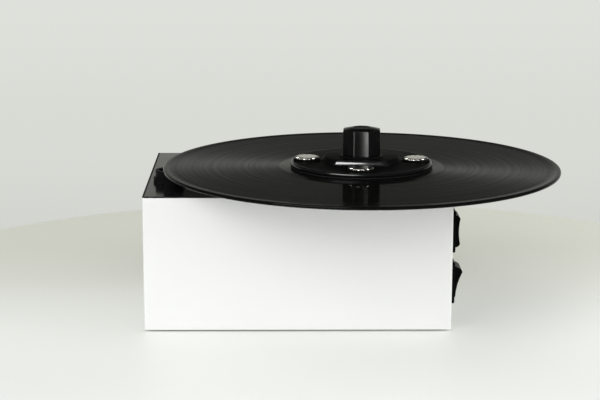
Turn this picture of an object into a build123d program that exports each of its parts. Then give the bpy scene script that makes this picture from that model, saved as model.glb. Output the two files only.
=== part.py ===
"""Compact vacuum record cleaning machine, in millimetres, +Z up.

The origin is the centre of the casing's footprint, on the table. The front faces -Y and the
switches are on the +X side.
"""
import os
from math import cos, radians, sin, sqrt

from build123d import *

os.makedirs("parts", exist_ok=True)

# ---------------------------------------------------------------- driving dimensions
# casing
case_width = 228.0
case_depth = 177.0
case_height = 101.0
case_wall = 2.0
bend_radius = 1.6
return_width = 12.0
rear_thickness = 2.0
base_thickness = 2.0
plate_lip = 1.0
plate_core = 2.0
edge_break = 0.3
post_size = 10.0
post_tap = 12.0
tap_margin = 3.0
foot_radius = 7.0
foot_height = 3.3
foot_web = 1.5
foot_margin = 1.0
foot_draft = 4
panel_gap = 1.3
panel_fit = 0.2
screw_fit = 0.05

# screws: M3 throughout
screw_radius = 1.5
head_radius = 2.8
pan_height = 1.6
sunk_height = 1.3
sunk_draft = 45

# turning drive
spindle_inset = 63.1
spindle_y = -30.0
shaft_radius = 5.0
pin_radius = 3.55
bush_radius = 8.0
bush_length = 8.0
bearing_length = 22.0
bearing_wall = 5.0
bearing_flange = 31.0
bearing_flange_thickness = 4.0
bearing_proud = 0.7
bearing_nose_step = 1.0
bearing_relief = 1.0
bearing_screw_step = 6.0
bearing_screw_start = 30
running_fit = 0.03
push_fit = 0.02
thrust_thickness = 0.5
hub_flange_radius = 13.0
hub_flange_thickness = 2.0
platter_radius = 50.0
platter_web = 3.5
platter_hub = 5.3
platter_gap = 1.5
platter_edge = 1.0
mat_thickness = 1.3
standoff_length = 30.3
standoff_radius = 3.5
standoff_circle = 26.0
standoff_start = 90
motor_plate_thickness = 3.0
gearbox_radius = 20.0
gearbox_length = 24.0
motor_radius = 18.0
motor_length = 28.0
drive_shaft_radius = 3.0
coupling_radius = 9.0
coupling_length = 14.0
coupling_gap = 1.0

# record
record_radius = 150.8
record_thickness = 2.0
record_hole = 3.62
label_radius = 50.0
label_thickness = 0.15
groove_start = 62.0
groove_margin = 4.8
groove_relief = 0.1
groove_ramp = 1.0
bead_width = 3.6
bead_rise = 0.2

# clamp
clamp_angle = -3.0
clamp_radius = 54.0
seal_height = 0.7
seal_width = 9.0
clamp_base_height = 0.9
clamp_groove = 0.3
clamp_undercut = 1.1
clamp_rim_height = 2.3
clamp_edge_round = 1.9
hub_base_radius = 31.0
hub_top_radius = 27.8
hub_base_half = 22.9
hub_top_half = 21.1
hub_height = 3.6
hub_web = 2.0
well_radius = 14.0
clamp_screw_circle = 41.4
clamp_head_radius = 9.25
clamp_head_height = 1.7
clamp_head_flutes = 12
clamp_collar_radius = 10.25
clamp_collar_height = 1.0
clamp_shank_radius = 3.0
knob_flats = 28.2
knob_straight = 19.7
knob_height = 21.1
knob_corner = 1.2
knob_crown = 7.7
knob_draft = 0.8
knob_edge = 0.5
knob_foot = 0.8
knob_cap_radius = 6.5
knob_cap_thickness = 1.2
washer_radius = 16.0
washer_thickness = 0.8
insert_radius = 7.0
insert_reach = 11.0
pin_reach = 4.0
thread_lead = 1.25
thread_turns = 2.0
thread_fit = 0.07
clip_width = 3.0
clip_thickness = 0.9
clip_groove = 1.0
clip_clearance = 0.2

# suction arm socket and hose
socket_inset = 14.6
socket_bore = 8.0
socket_wall = 2.75
socket_flange = 12.25
socket_flange_height = 3.4
socket_height = 8.9
socket_depth = 19.0
hose_bore = 6.0
hose_wall = 2.0
hose_grip = 8.0

# waste tank
tank_side_gap = 4.0
tank_front_gap = 11.0
tank_reach = 31.9
tank_height = 58.7
tank_wall = 2.5
tank_corner = 8.0
tank_back = -13.5
gasket_thickness = 1.0
lid_thickness = 3.0
spigot_wall = 2.0
lid_spigot_height = 10.0
baffle_offset = 11.0
baffle_depth = 40.0
baffle_gap = 0.5
hose_gap = 1.0
boss_radius = 4.5
drain_inset = 14.0
drain_z = 14.0
drain_radius = 5.0
drain_bore = 3.0
drain_barb = 4.0
drain_reach = 12.0
drain_flange = 7.0
drain_flange_thickness = 2.0
drain_step = 0.5
barb_length = 4.0
cap_wall = 2.0
cap_round = 1.0

# suction blower
blower_inset = 28.0
blower_z = 50.0
blower_radius = 40.0
blower_wall = 2.0
blower_front = 6.0
cover_thickness = 4.0
air_bore = 10.0
air_spigot = 10.0
tank_spigot = 7.0
sleeve_wall = 3.0
fan_depth = 18.0
fan_radius = 34.0
fan_height = 12.0
fan_blades = 9
fan_plate = 1.5
blade_thickness = 1.6
eye_radius = 13.0
fan_hub_radius = 7.0
fan_hub_gap = 1.0
blade_inset = 0.5
bulkhead = 3.0
blower_motor_radius = 29.0
blower_motor_length = 42.0
blower_motor_end = 6.0
blower_motor_round = 3.0
blower_shaft_radius = 3.0
saddle_thickness = 8.0
saddle_width = 56.0
saddle_base = 3.0
cradle_gap = 0.2

# rocker switches
switch_inset = 22.5
switch_spacing = 39.0
lower_switch = 32.3
bezel_width = 25.2
bezel_length = 31.6
bezel_proud = 3.2
bezel_corner = 1.5
switch_body_width = 22.0
switch_body_length = 28.0
switch_body_depth = 22.0
rocker_width = 19.0
rocker_radius = 12.6
rocker_crest = 9.5
crest_height = 3.6
waist_height = 2.6
shoulder_rise = 0.5
crest_bulge = 0.5
crest_drop = 1.2
rocker_tilt = 15.0
rocker_gap = 0.3
pivot_depth = 3.0
pivot_radius = 1.5
rocker_skirt = 3.0
blade_width = 6.3
blade_length = 8.0
terminal_thickness = 0.8

# electrics
inlet_inset = 32.0
inlet_z = 30.0
inlet_width = 27.0
inlet_height = 20.0
inlet_depth = 20.0
inlet_flange = 2.5
inlet_flange_thickness = 1.5
inlet_cavity_width = 24.6
inlet_cavity_height = 16.6
inlet_cavity_depth = 16.0
inlet_chamfer = 4.0
pin_spread = 7.0
pin_offset = 2.0
pin_thickness = 2.0
pin_width = 4.0
pin_recess = 3.0
board_side_gap = 11.0
board_rear_gap = 30.5
board_width = 58.0
board_length = 52.0
board_thickness = 1.6
board_lift = 8.0
board_post_radius = 3.0
board_margin = 4.0
transformer_gap = 3.0
transformer_rear_gap = 9.5
core_width = 36.0
core_length = 22.0
core_height = 32.0
core_limb = 7.0
coil_length = 34.0
coil_corner = 3.0

# ---------------------------------------------------------------- levels and places worked out
case_bottom = panel_gap
case_top = case_bottom + case_height
wall_top = case_top - plate_lip
plate_under = wall_top - plate_core
base_under = foot_height
base_top = base_under + base_thickness
inner_half_width = case_width / 2 - case_wall
front_inside = -case_depth / 2 + case_wall
rear_inside = case_depth / 2 - rear_thickness
rear_face = case_depth / 2
inner_bend = max(bend_radius - case_wall, edge_break)
spindle_x = inner_half_width - spindle_inset
socket_x = -inner_half_width + socket_inset
switch_y = front_inside + switch_inset
inlet_x = inner_half_width - inlet_inset
board_x = inner_half_width - board_side_gap - board_width / 2
board_y = rear_inside - board_rear_gap - board_length / 2
transformer_x = board_x - board_width / 2 - transformer_gap - core_width / 2
transformer_y = rear_inside - transformer_rear_gap - coil_length / 2
groove_end = record_radius - groove_margin
tap_radius = screw_radius + screw_fit

post_x = inner_half_width - post_size / 2 - panel_fit
front_post_y = front_inside + post_size / 2 + panel_fit
rear_post_y = rear_inside - post_size / 2
post_places = [(x, y) for x in (-post_x, post_x) for y in (front_post_y, rear_post_y)]
side_screw_x = case_width / 2 - return_width / 2
side_places = [(-side_screw_x, 0), (side_screw_x, 0)]
foot_x = case_width / 2 - return_width - foot_radius - foot_margin
foot_y = case_depth / 2 - return_width - foot_radius - foot_margin
foot_places = [(x, y) for x in (-foot_x, foot_x) for y in (-foot_y, foot_y)]
rear_tap = post_size - rear_thickness
rear_screw_levels = (base_top + post_tap + head_radius, plate_under - post_size)
board_places = [
    (board_x + sx * (board_width / 2 - board_margin), board_y + sy * (board_length / 2 - board_margin))
    for sx in (-1, 1)
    for sy in (-1, 1)
]

housing_top = case_top + bearing_proud
housing_bottom = housing_top - bearing_length
flange_under = plate_under - bearing_flange_thickness
barrel_radius = bush_radius + bearing_wall
nose_radius = barrel_radius - bearing_nose_step
bearing_screw_circle = standoff_circle - bearing_screw_step
hub_screw_circle = hub_flange_radius - 2 * screw_radius
hub_flange_under = housing_top + thrust_thickness
platter_seat = hub_flange_under + hub_flange_thickness
platter_top = platter_seat + platter_hub
mat_top = platter_top + mat_thickness
motor_plate_top = flange_under - standoff_length
gearbox_top = motor_plate_top - motor_plate_thickness
coupling_bottom = motor_plate_top + coupling_gap
coupling_middle = coupling_bottom + coupling_length / 2
coupling_top = coupling_bottom + coupling_length
record_under = mat_top
record_top = record_under + record_thickness

clamp_base_under = record_top + seal_height
disc_under = clamp_base_under + clamp_base_height
rim_under = disc_under + clamp_groove
disc_top = rim_under + clamp_rim_height
hub_top = disc_top + hub_height
knob_under = hub_top + washer_thickness
knob_top = knob_under + knob_height
knob_rise = thread_lead * thread_turns
insert_bottom = hub_top - hub_web - knob_rise - clip_clearance - 2 * clip_thickness
insert_top = knob_under + insert_reach
spindle_top = knob_under + pin_reach

socket_top = case_top + socket_height
socket_floor = socket_top - socket_depth
socket_radius = socket_bore + socket_wall
hose_spigot = hose_bore + spigot_wall
tank_left = -inner_half_width + tank_side_gap
tank_right = spindle_x - bearing_flange - tank_reach
tank_front = front_inside + tank_front_gap
tank_width = tank_right - tank_left
tank_length = tank_back - tank_front
tank_x = (tank_left + tank_right) / 2
tank_y = (tank_front + tank_back) / 2
baffle_x = tank_x - baffle_offset
drain_x = tank_left + drain_inset
blower_x = tank_right - blower_inset
tank_top = base_top + tank_height
lid_under = tank_top + gasket_thickness
lid_top = lid_under + lid_thickness
boss_reach_x = tank_width / 2 - boss_radius
boss_reach_y = tank_length / 2 - boss_radius

fan_wall = blower_front + cover_thickness
bulkhead_face = fan_wall + fan_depth
motor_face = bulkhead_face + bulkhead
saddle_places = (fan_wall + saddle_thickness, rear_inside - saddle_thickness)
switch_levels = (case_bottom + lower_switch, case_bottom + lower_switch + switch_spacing)
bezel_face = case_width / 2 + bezel_proud
pivot_x = bezel_face - pivot_depth

# profiles of turned pieces lie in these planes as (radius, height) or (radius, distance along Y)
SPINDLE_AXIS = Axis((spindle_x, spindle_y, 0), (0, 0, 1))
SPINDLE_PROFILE = Plane(origin=(spindle_x, spindle_y, 0), x_dir=(1, 0, 0), z_dir=(0, -1, 0))
SOCKET_AXIS = Axis((socket_x, spindle_y, 0), (0, 0, 1))
SOCKET_PROFILE = Plane(origin=(socket_x, spindle_y, 0), x_dir=(1, 0, 0), z_dir=(0, -1, 0))
BLOWER_AXIS = Axis((blower_x, 0, blower_z), (0, 1, 0))
BLOWER_PROFILE = Plane(origin=(blower_x, 0, blower_z), x_dir=(1, 0, 0), z_dir=(0, 0, 1))
DRAIN_AXIS = Axis((drain_x, 0, drain_z), (0, 1, 0))
DRAIN_PROFILE = Plane(origin=(drain_x, 0, drain_z), x_dir=(1, 0, 0), z_dir=(0, 0, 1))


def over_spindle(z, turned=0.0):
    """Level plane on the spindle's axis, its X turned by an angle in degrees."""
    return Plane(
        origin=(spindle_x, spindle_y, z),
        x_dir=(cos(radians(turned)), sin(radians(turned)), 0),
        z_dir=(0, 0, 1),
    )


def across(x, y, z):
    """Upright plane at a point, facing the rear."""
    return Plane(origin=(x, y, z), x_dir=(1, 0, 0), z_dir=(0, 1, 0))


def facing_down(x, y, z):
    """Level plane at a point whose normal points down."""
    return Plane(origin=(x, y, z), x_dir=(1, 0, 0), z_dir=(0, 0, -1))


def polar(radius, angle):
    """Point at a radius and an angle in degrees."""
    return (radius * cos(radians(angle)), radius * sin(radians(angle)))


# ---------------------------------------------------------------- casing
# Front and sides are one folded sheet with a return along the bottom edge.
with BuildPart() as wrap_cover:
    with BuildSketch(Plane.XY.offset(case_bottom)) as outline:
        Rectangle(case_width, case_depth)
        fillet(outline.vertices().group_by(Axis.Y)[0], bend_radius)
    extrude(amount=wall_top - case_bottom)
    chamfer(wrap_cover.faces().sort_by(Axis.Z)[-1].edges().filter_by(Axis.Y, reverse=True), edge_break)
    with BuildSketch(Plane.XY.offset(base_under)) as inside:
        with Locations((0, case_wall / 2)):
            Rectangle(2 * inner_half_width, case_depth - case_wall)
        fillet(inside.vertices().group_by(Axis.Y)[0], inner_bend)
    extrude(amount=case_height, mode=Mode.SUBTRACT)
    with BuildSketch(Plane.XY.offset(case_bottom)):
        with Locations((0, return_width / 2)):
            Rectangle(case_width - 2 * return_width, case_depth - return_width)
        with Locations((0, rear_inside + rear_thickness / 2)):
            Rectangle(2 * inner_half_width, rear_thickness)
    extrude(amount=base_under - case_bottom, mode=Mode.SUBTRACT)
    with Locations(*[facing_down(x, y, case_bottom) for x, y in post_places + side_places]):
        CounterSinkHole(tap_radius, head_radius + screw_fit, depth=case_wall, counter_sink_angle=90)
    with BuildSketch(Plane.YZ.offset(inner_half_width)):
        with Locations(*[(switch_y, z) for z in switch_levels]):
            Rectangle(switch_body_width + panel_fit, switch_body_length + panel_fit)
    extrude(amount=2 * case_wall, mode=Mode.SUBTRACT)
wrap_cover.part.label = "wrap_cover"
export_step(wrap_cover.part, "parts/wrap_cover.step")

# The top plate's lip lies on the walls and its core drops between them.
with BuildPart() as top_plate:
    with BuildSketch(Plane.XY.offset(wall_top)) as lip:
        Rectangle(case_width, case_depth)
        fillet(lip.vertices().group_by(Axis.Y)[0], bend_radius)
    extrude(amount=plate_lip)
    chamfer(top_plate.faces().sort_by(Axis.Z)[-1].edges(), edge_break)
    with BuildSketch(Plane.XY.offset(wall_top)) as core:
        with Locations((0, (front_inside + rear_inside) / 2)):
            Rectangle(2 * (inner_half_width - panel_fit), rear_inside - front_inside - 2 * panel_fit)
        fillet(core.vertices().group_by(Axis.Y)[0], inner_bend)
    extrude(amount=-plate_core)
    with Locations((spindle_x, spindle_y, case_top)):
        Hole(nose_radius + panel_fit)
        with PolarLocations(bearing_screw_circle, 3, start_angle=bearing_screw_start):
            CounterSinkHole(tap_radius, head_radius + screw_fit, counter_sink_angle=90)
    with Locations((socket_x, spindle_y, case_top)):
        Hole(socket_radius + panel_fit)
top_plate.part.label = "top_plate"
export_step(top_plate.part, "parts/top_plate.step")

# The base lies on the wrap's returns; four pressed-in posts carry the control board.
with BuildPart() as base_plate:
    with BuildSketch(Plane.XY.offset(base_under)) as base_outline:
        with Locations((0, (front_inside + rear_inside) / 2)):
            Rectangle(2 * (inner_half_width - panel_fit), rear_inside - front_inside - 2 * panel_fit)
        fillet(base_outline.vertices().group_by(Axis.Y)[0], inner_bend)
    extrude(amount=base_thickness)
    with Locations(*[(x, y, base_top) for x, y in post_places + side_places + foot_places]):
        Hole(tap_radius, depth=base_thickness)
    with BuildSketch(Plane.XY.offset(base_top)):
        with Locations(*board_places):
            Circle(board_post_radius)
    extrude(amount=board_lift)
    with Locations(*[(x, y, base_top + board_lift) for x, y in board_places]):
        Hole(tap_radius, depth=board_lift)
base_plate.part.label = "base_plate"
export_step(base_plate.part, "parts/base_plate.step")

# The rear panel closes the wrap; its round grille of upright slots vents the blower.
vent_pitch = 6.0
vent_slot = 2.6
vent_margin = 2.0
vent_radius = blower_radius - blower_wall - vent_margin
with BuildPart() as rear_panel:
    with BuildSketch(Plane.XZ.offset(-rear_inside)):
        with Locations((0, (case_bottom + wall_top) / 2)):
            Rectangle(2 * (inner_half_width - panel_fit), wall_top - case_bottom)
    extrude(amount=-rear_thickness)
    with BuildSketch(Plane.XZ.offset(-rear_face)):
        vent_slots = int(2 * vent_radius // vent_pitch)
        for slot in range(vent_slots):
            offset = (slot - (vent_slots - 1) / 2) * vent_pitch
            with Locations((blower_x + offset, blower_z)):
                SlotOverall(2 * sqrt(vent_radius**2 - offset**2), vent_slot, rotation=90)
        with Locations((inlet_x, inlet_z)):
            Rectangle(inlet_width + panel_fit, inlet_height + panel_fit)
        with Locations((drain_x, drain_z)):
            Circle(drain_radius + panel_fit)
        with Locations(*[(x, z) for x in (-post_x, post_x) for z in rear_screw_levels]):
            Circle(tap_radius)
    extrude(amount=rear_thickness, mode=Mode.SUBTRACT)
rear_panel.part.label = "rear_panel"
export_step(rear_panel.part, "parts/rear_panel.step")

# Four square posts stand on the base and are bonded to the top plate's underside.
with BuildPart() as corner_posts:
    with BuildSketch(Plane.XY.offset(base_top)):
        with Locations(*post_places):
            RectangleRounded(post_size, post_size, inner_bend)
    extrude(amount=plate_under - base_top)
    with Locations(*[facing_down(x, y, base_top) for x, y in post_places]):
        Hole(tap_radius, depth=post_tap)
    with BuildSketch(Plane.XZ.offset(-rear_inside)):
        with Locations(*[(x, z) for x in (-post_x, post_x) for z in rear_screw_levels]):
            Circle(tap_radius)
    extrude(amount=rear_tap, mode=Mode.SUBTRACT)
corner_posts.part.label = "corner_posts"
export_step(corner_posts.part, "parts/corner_posts.step")

with BuildPart() as rubber_feet:
    with BuildSketch():
        with Locations(*foot_places):
            Circle(foot_radius)
    extrude(amount=base_under, taper=foot_draft)
    with Locations(*[facing_down(x, y, 0) for x, y in foot_places]):
        CounterBoreHole(tap_radius, head_radius + screw_fit, base_under - foot_web)
rubber_feet.part.label = "rubber_feet"
export_step(rubber_feet.part, "parts/rubber_feet.step")


# ---------------------------------------------------------------- bearing and drive
# The bearing housing hangs under the top plate; its nose centres in the plate's hole.
with BuildPart() as bearing_housing:
    with BuildSketch(SPINDLE_PROFILE):
        with BuildLine():
            Polyline(
                (shaft_radius + bearing_relief, housing_bottom + bush_length),
                (bush_radius + push_fit, housing_bottom + bush_length),
                (bush_radius + push_fit, housing_bottom),
                (barrel_radius, housing_bottom),
                (barrel_radius, flange_under),
                (bearing_flange, flange_under),
                (bearing_flange, plate_under),
                (nose_radius, plate_under),
                (nose_radius, housing_top),
                (bush_radius + push_fit, housing_top),
                (bush_radius + push_fit, housing_top - bush_length),
                (shaft_radius + bearing_relief, housing_top - bush_length),
                close=True,
            )
        make_face()
    revolve(axis=SPINDLE_AXIS)
    with Locations(over_spindle(plate_under)):
        with PolarLocations(bearing_screw_circle, 3, start_angle=bearing_screw_start):
            Hole(tap_radius, depth=bearing_flange_thickness)
        with PolarLocations(standoff_circle, 3, start_angle=standoff_start):
            Hole(tap_radius, depth=bearing_flange_thickness)
bearing_housing.part.label = "bearing_housing"
export_step(bearing_housing.part, "parts/bearing_housing.step")

# Two sintered bushes, flush with the ends of the housing.
with BuildPart() as spindle_bushes:
    for bush_bottom in (housing_bottom, housing_top - bush_length):
        with BuildSketch(over_spindle(bush_bottom)):
            Circle(bush_radius)
            Circle(shaft_radius + running_fit, mode=Mode.SUBTRACT)
        extrude(amount=bush_length)
spindle_bushes.part.label = "spindle_bushes"
export_step(spindle_bushes.part, "parts/spindle_bushes.step")

with BuildPart() as thrust_washer:
    with BuildSketch(over_spindle(housing_top)):
        Circle(bush_radius)
        Circle(shaft_radius + running_fit, mode=Mode.SUBTRACT)
    extrude(amount=thrust_thickness)
thrust_washer.part.label = "thrust_washer"
export_step(thrust_washer.part, "parts/thrust_washer.step")

# The shaft carries the platter on its flange; above it is the pin for the record and the clamp.
pin_nose = 1.6
with BuildPart() as spindle_shaft:
    with BuildSketch(SPINDLE_PROFILE):
        with BuildLine():
            Polyline(
                (0, spindle_top),
                (0, coupling_middle + running_fit),
                (shaft_radius, coupling_middle + running_fit),
                (shaft_radius, hub_flange_under),
                (hub_flange_radius, hub_flange_under),
                (hub_flange_radius, platter_seat),
                (shaft_radius, platter_seat),
                (shaft_radius, platter_top),
                (pin_radius, platter_top),
                (pin_radius, spindle_top - pin_nose),
                (pin_radius - pin_nose, spindle_top),
                close=True,
            )
        make_face()
    revolve(axis=SPINDLE_AXIS)
    with Locations(over_spindle(platter_seat)):
        with PolarLocations(hub_screw_circle, 3):
            Hole(tap_radius, depth=hub_flange_thickness)
spindle_shaft.part.label = "spindle_shaft"
export_step(spindle_shaft.part, "parts/spindle_shaft.step")

# Light platter: a hub, a thin web and a skirt that throws drips clear of the bearing.
skirt_width = 4.0
hub_flare = 2.0
hub_rim = hub_flange_radius + 3.0
with BuildPart() as platter:
    with BuildSketch(SPINDLE_PROFILE):
        with BuildLine():
            Polyline(
                (shaft_radius + push_fit, platter_seat),
                (hub_rim, platter_seat),
                (hub_rim + hub_flare, platter_top - platter_web),
                (platter_radius - skirt_width, platter_top - platter_web),
                (platter_radius - skirt_width, case_top + platter_gap),
                (platter_radius, case_top + platter_gap),
                (platter_radius, platter_top),
                (shaft_radius + push_fit, platter_top),
                close=True,
            )
        make_face()
    revolve(axis=SPINDLE_AXIS)
    chamfer(platter.faces().sort_by(Axis.Z)[-1].edges().sort_by(SortBy.RADIUS)[-1], platter_edge)
    with Locations(over_spindle(platter_top)):
        with PolarLocations(hub_screw_circle, 3):
            CounterSinkHole(tap_radius, head_radius + screw_fit, counter_sink_angle=90)
platter.part.label = "platter"
export_step(platter.part, "parts/platter.step")

mat_grooves = 3
mat_groove = 0.4
with BuildPart() as platter_mat:
    with BuildSketch(over_spindle(platter_top)):
        Circle(platter_radius - platter_edge)
        Circle(hub_rim, mode=Mode.SUBTRACT)
    extrude(amount=mat_thickness)
    with BuildSketch(over_spindle(mat_top)):
        for ring in range(mat_grooves):
            groove_radius = hub_rim + (ring + 1) * (platter_radius - hub_rim) / (mat_grooves + 1)
            Circle(groove_radius + 2 * mat_groove)
            Circle(groove_radius, mode=Mode.SUBTRACT)
    extrude(amount=-mat_groove, mode=Mode.SUBTRACT)
platter_mat.part.label = "platter_mat"
export_step(platter_mat.part, "parts/platter_mat.step")

# Three pillars hang the gearmotor's plate from the bearing flange.
with BuildPart() as drive_standoffs:
    with BuildSketch(over_spindle(motor_plate_top)):
        with PolarLocations(standoff_circle, 3, start_angle=standoff_start):
            RegularPolygon(standoff_radius, 6, major_radius=False)
    extrude(amount=standoff_length)
    with BuildSketch(over_spindle(flange_under)):
        with PolarLocations(standoff_circle, 3, start_angle=standoff_start):
            Circle(screw_radius)
    extrude(amount=bearing_flange_thickness - screw_fit)
    with BuildSketch(over_spindle(motor_plate_top)):
        with PolarLocations(standoff_circle, 3, start_angle=standoff_start):
            Circle(tap_radius)
    extrude(amount=post_tap, mode=Mode.SUBTRACT)
drive_standoffs.part.label = "drive_standoffs"
export_step(drive_standoffs.part, "parts/drive_standoffs.step")

gear_boss = 7.0
gear_screw_circle = (gearbox_radius + gear_boss + head_radius) / 2
with BuildPart() as motor_plate:
    with BuildSketch(over_spindle(gearbox_top)):
        Circle(bearing_flange)
        Circle(gear_boss + screw_fit, mode=Mode.SUBTRACT)
        with PolarLocations(standoff_circle, 3, start_angle=standoff_start):
            Circle(tap_radius, mode=Mode.SUBTRACT)
    extrude(amount=motor_plate_thickness)
    with Locations(over_spindle(motor_plate_top)):
        with PolarLocations(gear_screw_circle, 4):
            CounterSinkHole(tap_radius, head_radius + screw_fit, counter_sink_angle=90)
motor_plate.part.label = "motor_plate"
export_step(motor_plate.part, "parts/motor_plate.step")

# Closed gearbox with a boss that centres in the motor plate.
gearbox_bottom = gearbox_top - gearbox_length
with BuildPart() as gearbox:
    with BuildSketch(over_spindle(gearbox_bottom)):
        Circle(gearbox_radius)
    extrude(amount=gearbox_length)
    chamfer(gearbox.edges(), 2 * edge_break)
    with BuildSketch(over_spindle(gearbox_top)):
        Circle(gear_boss)
    extrude(amount=motor_plate_thickness)
    with Locations(over_spindle(motor_plate_top)):
        Hole(drive_shaft_radius + running_fit, depth=gearbox_length)
    with Locations(over_spindle(gearbox_top)):
        with PolarLocations(gear_screw_circle, 4):
            Hole(tap_radius, depth=post_tap)
gearbox.part.label = "gearbox"
export_step(gearbox.part, "parts/gearbox.step")

# The can is drawn from sheet: round shoulder below and a small rear bearing cup.
cup_radius = 5.0
cup_height = 2.0
can_round = 2.0
with BuildPart() as gearmotor_can:
    with BuildSketch(over_spindle(gearbox_bottom)):
        Circle(motor_radius)
    extrude(amount=-motor_length)
    chamfer(gearmotor_can.edges().sort_by(Axis.Z)[0], can_round)
    with BuildSketch(over_spindle(gearbox_bottom - motor_length)):
        Circle(cup_radius)
    extrude(amount=-cup_height)
gearmotor_can.part.label = "gearmotor_can"
export_step(gearmotor_can.part, "parts/gearmotor_can.step")

with BuildPart() as gearbox_shaft:
    with BuildSketch(over_spindle(gearbox_bottom + motor_plate_thickness + running_fit)):
        Circle(drive_shaft_radius)
    extrude(amount=coupling_middle - gearbox_bottom - motor_plate_thickness - 2 * running_fit)
gearbox_shaft.part.label = "gearbox_shaft"
export_step(gearbox_shaft.part, "parts/gearbox_shaft.step")

# Sleeve coupling: small bore below, large bore above, one grub screw hole for each shaft.
with BuildPart() as shaft_coupling:
    with BuildSketch(over_spindle(coupling_bottom)):
        Circle(coupling_radius)
    extrude(amount=coupling_length)
    chamfer(shaft_coupling.edges(), 2 * edge_break)
    with Locations(over_spindle(coupling_middle)):
        Hole(drive_shaft_radius + push_fit, depth=coupling_length / 2)
    with Locations(over_spindle(coupling_top)):
        Hole(shaft_radius + push_fit, depth=coupling_length / 2)
    for level in (coupling_bottom + coupling_length / 4, coupling_top - coupling_length / 4):
        with BuildSketch(Plane(origin=(spindle_x, spindle_y, level), x_dir=(1, 0, 0), z_dir=(0, -1, 0))):
            Circle(screw_radius)
        extrude(amount=coupling_radius, mode=Mode.SUBTRACT)
shaft_coupling.part.label = "shaft_coupling"
export_step(shaft_coupling.part, "parts/shaft_coupling.step")


# ---------------------------------------------------------------- record
# Pressed disc: flat middle, slightly sunk grooved zone and a raised bead round the edge.
with BuildPart() as record_disc:
    with BuildSketch(SPINDLE_PROFILE):
        with BuildLine():
            Polyline(
                (record_hole, record_under + label_thickness),
                (label_radius + screw_fit, record_under + label_thickness),
                (label_radius + screw_fit, record_under),
                (groove_start, record_under),
                (groove_start + groove_ramp, record_under + groove_relief),
                (groove_end, record_under + groove_relief),
                (record_radius - bead_width, record_under - bead_rise),
                (record_radius - bead_rise, record_under - bead_rise),
            )
            ThreePointArc(
                (record_radius - bead_rise, record_under - bead_rise),
                (record_radius, (record_under + record_top) / 2),
                (record_radius - bead_rise, record_top + bead_rise),
            )
            Polyline(
                (record_radius - bead_rise, record_top + bead_rise),
                (record_radius - bead_width, record_top + bead_rise),
                (groove_end, record_top - groove_relief),
                (groove_start + groove_ramp, record_top - groove_relief),
                (groove_start, record_top),
                (label_radius + screw_fit, record_top),
                (label_radius + screw_fit, record_top - label_thickness),
                (record_hole, record_top - label_thickness),
                (record_hole, record_under + label_thickness),
            )
        make_face()
    revolve(axis=SPINDLE_AXIS)
record_disc.part.label = "record_disc"
export_step(record_disc.part, "parts/record_disc.step")

with BuildPart() as record_label:
    for label_under in (record_under, record_top - label_thickness):
        with BuildSketch(over_spindle(label_under)):
            Circle(label_radius)
            Circle(record_hole, mode=Mode.SUBTRACT)
        extrude(amount=label_thickness)
record_label.part.label = "record_label"
export_step(record_label.part, "parts/record_label.step")


# ---------------------------------------------------------------- clamp
# Rubber ring that presses beside the label and keeps it dry.
with BuildPart() as clamp_seal:
    with BuildSketch(over_spindle(record_top)):
        Circle(clamp_radius - edge_break)
        Circle(clamp_radius - seal_width, mode=Mode.SUBTRACT)
    extrude(amount=seal_height)
    chamfer(clamp_seal.edges().group_by(Axis.Z)[0], edge_break)
clamp_seal.part.label = "clamp_seal"
export_step(clamp_seal.part, "parts/clamp_seal.step")

with BuildPart() as clamp_base:
    with BuildSketch(over_spindle(clamp_base_under, clamp_angle)):
        Circle(clamp_radius)
        Circle(well_radius, mode=Mode.SUBTRACT)
    extrude(amount=clamp_base_height)
    chamfer(clamp_base.edges().filter_by(GeomType.CIRCLE).sort_by(SortBy.RADIUS)[-2:], edge_break)
    with BuildSketch(over_spindle(disc_under, clamp_angle)):
        with PolarLocations(clamp_screw_circle, 4):
            Circle(clamp_shank_radius + screw_fit)
    extrude(amount=-clamp_base_height, mode=Mode.SUBTRACT)
clamp_base.part.label = "clamp_base"
export_step(clamp_base.part, "parts/clamp_base.step")

# Moulded body: rounded rim over a dark groove, and a conical hub with two leaning flats.
with BuildPart() as clamp_disc:
    with BuildSketch(over_spindle(disc_under, clamp_angle)):
        Circle(clamp_radius - clamp_undercut)
    extrude(amount=clamp_groove)
    with BuildSketch(over_spindle(rim_under, clamp_angle)):
        Circle(clamp_radius)
    extrude(amount=clamp_rim_height)
    fillet(clamp_disc.faces().sort_by(Axis.Z)[-1].edges(), clamp_edge_round)
    with BuildSketch(over_spindle(disc_top, clamp_angle)):
        Circle(hub_base_radius)
        Rectangle(2 * hub_base_radius, 2 * hub_base_half, mode=Mode.INTERSECT)
    with BuildSketch(over_spindle(hub_top, clamp_angle)):
        Circle(hub_top_radius)
        Rectangle(2 * hub_base_radius, 2 * hub_top_half, mode=Mode.INTERSECT)
    loft()
    chamfer(clamp_disc.edges().group_by(Axis.Z)[-1], edge_break)
    with BuildSketch(over_spindle(disc_under, clamp_angle)):
        Circle(well_radius)
    extrude(amount=hub_top - hub_web - disc_under, mode=Mode.SUBTRACT)
    with Locations(over_spindle(hub_top, clamp_angle)):
        Hole(insert_radius + thread_fit)
    with Locations(over_spindle(disc_top, clamp_angle)):
        with PolarLocations(clamp_screw_circle, 4):
            Hole(clamp_shank_radius + screw_fit)
clamp_disc.part.label = "clamp_disc"
export_step(clamp_disc.part, "parts/clamp_disc.step")

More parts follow.
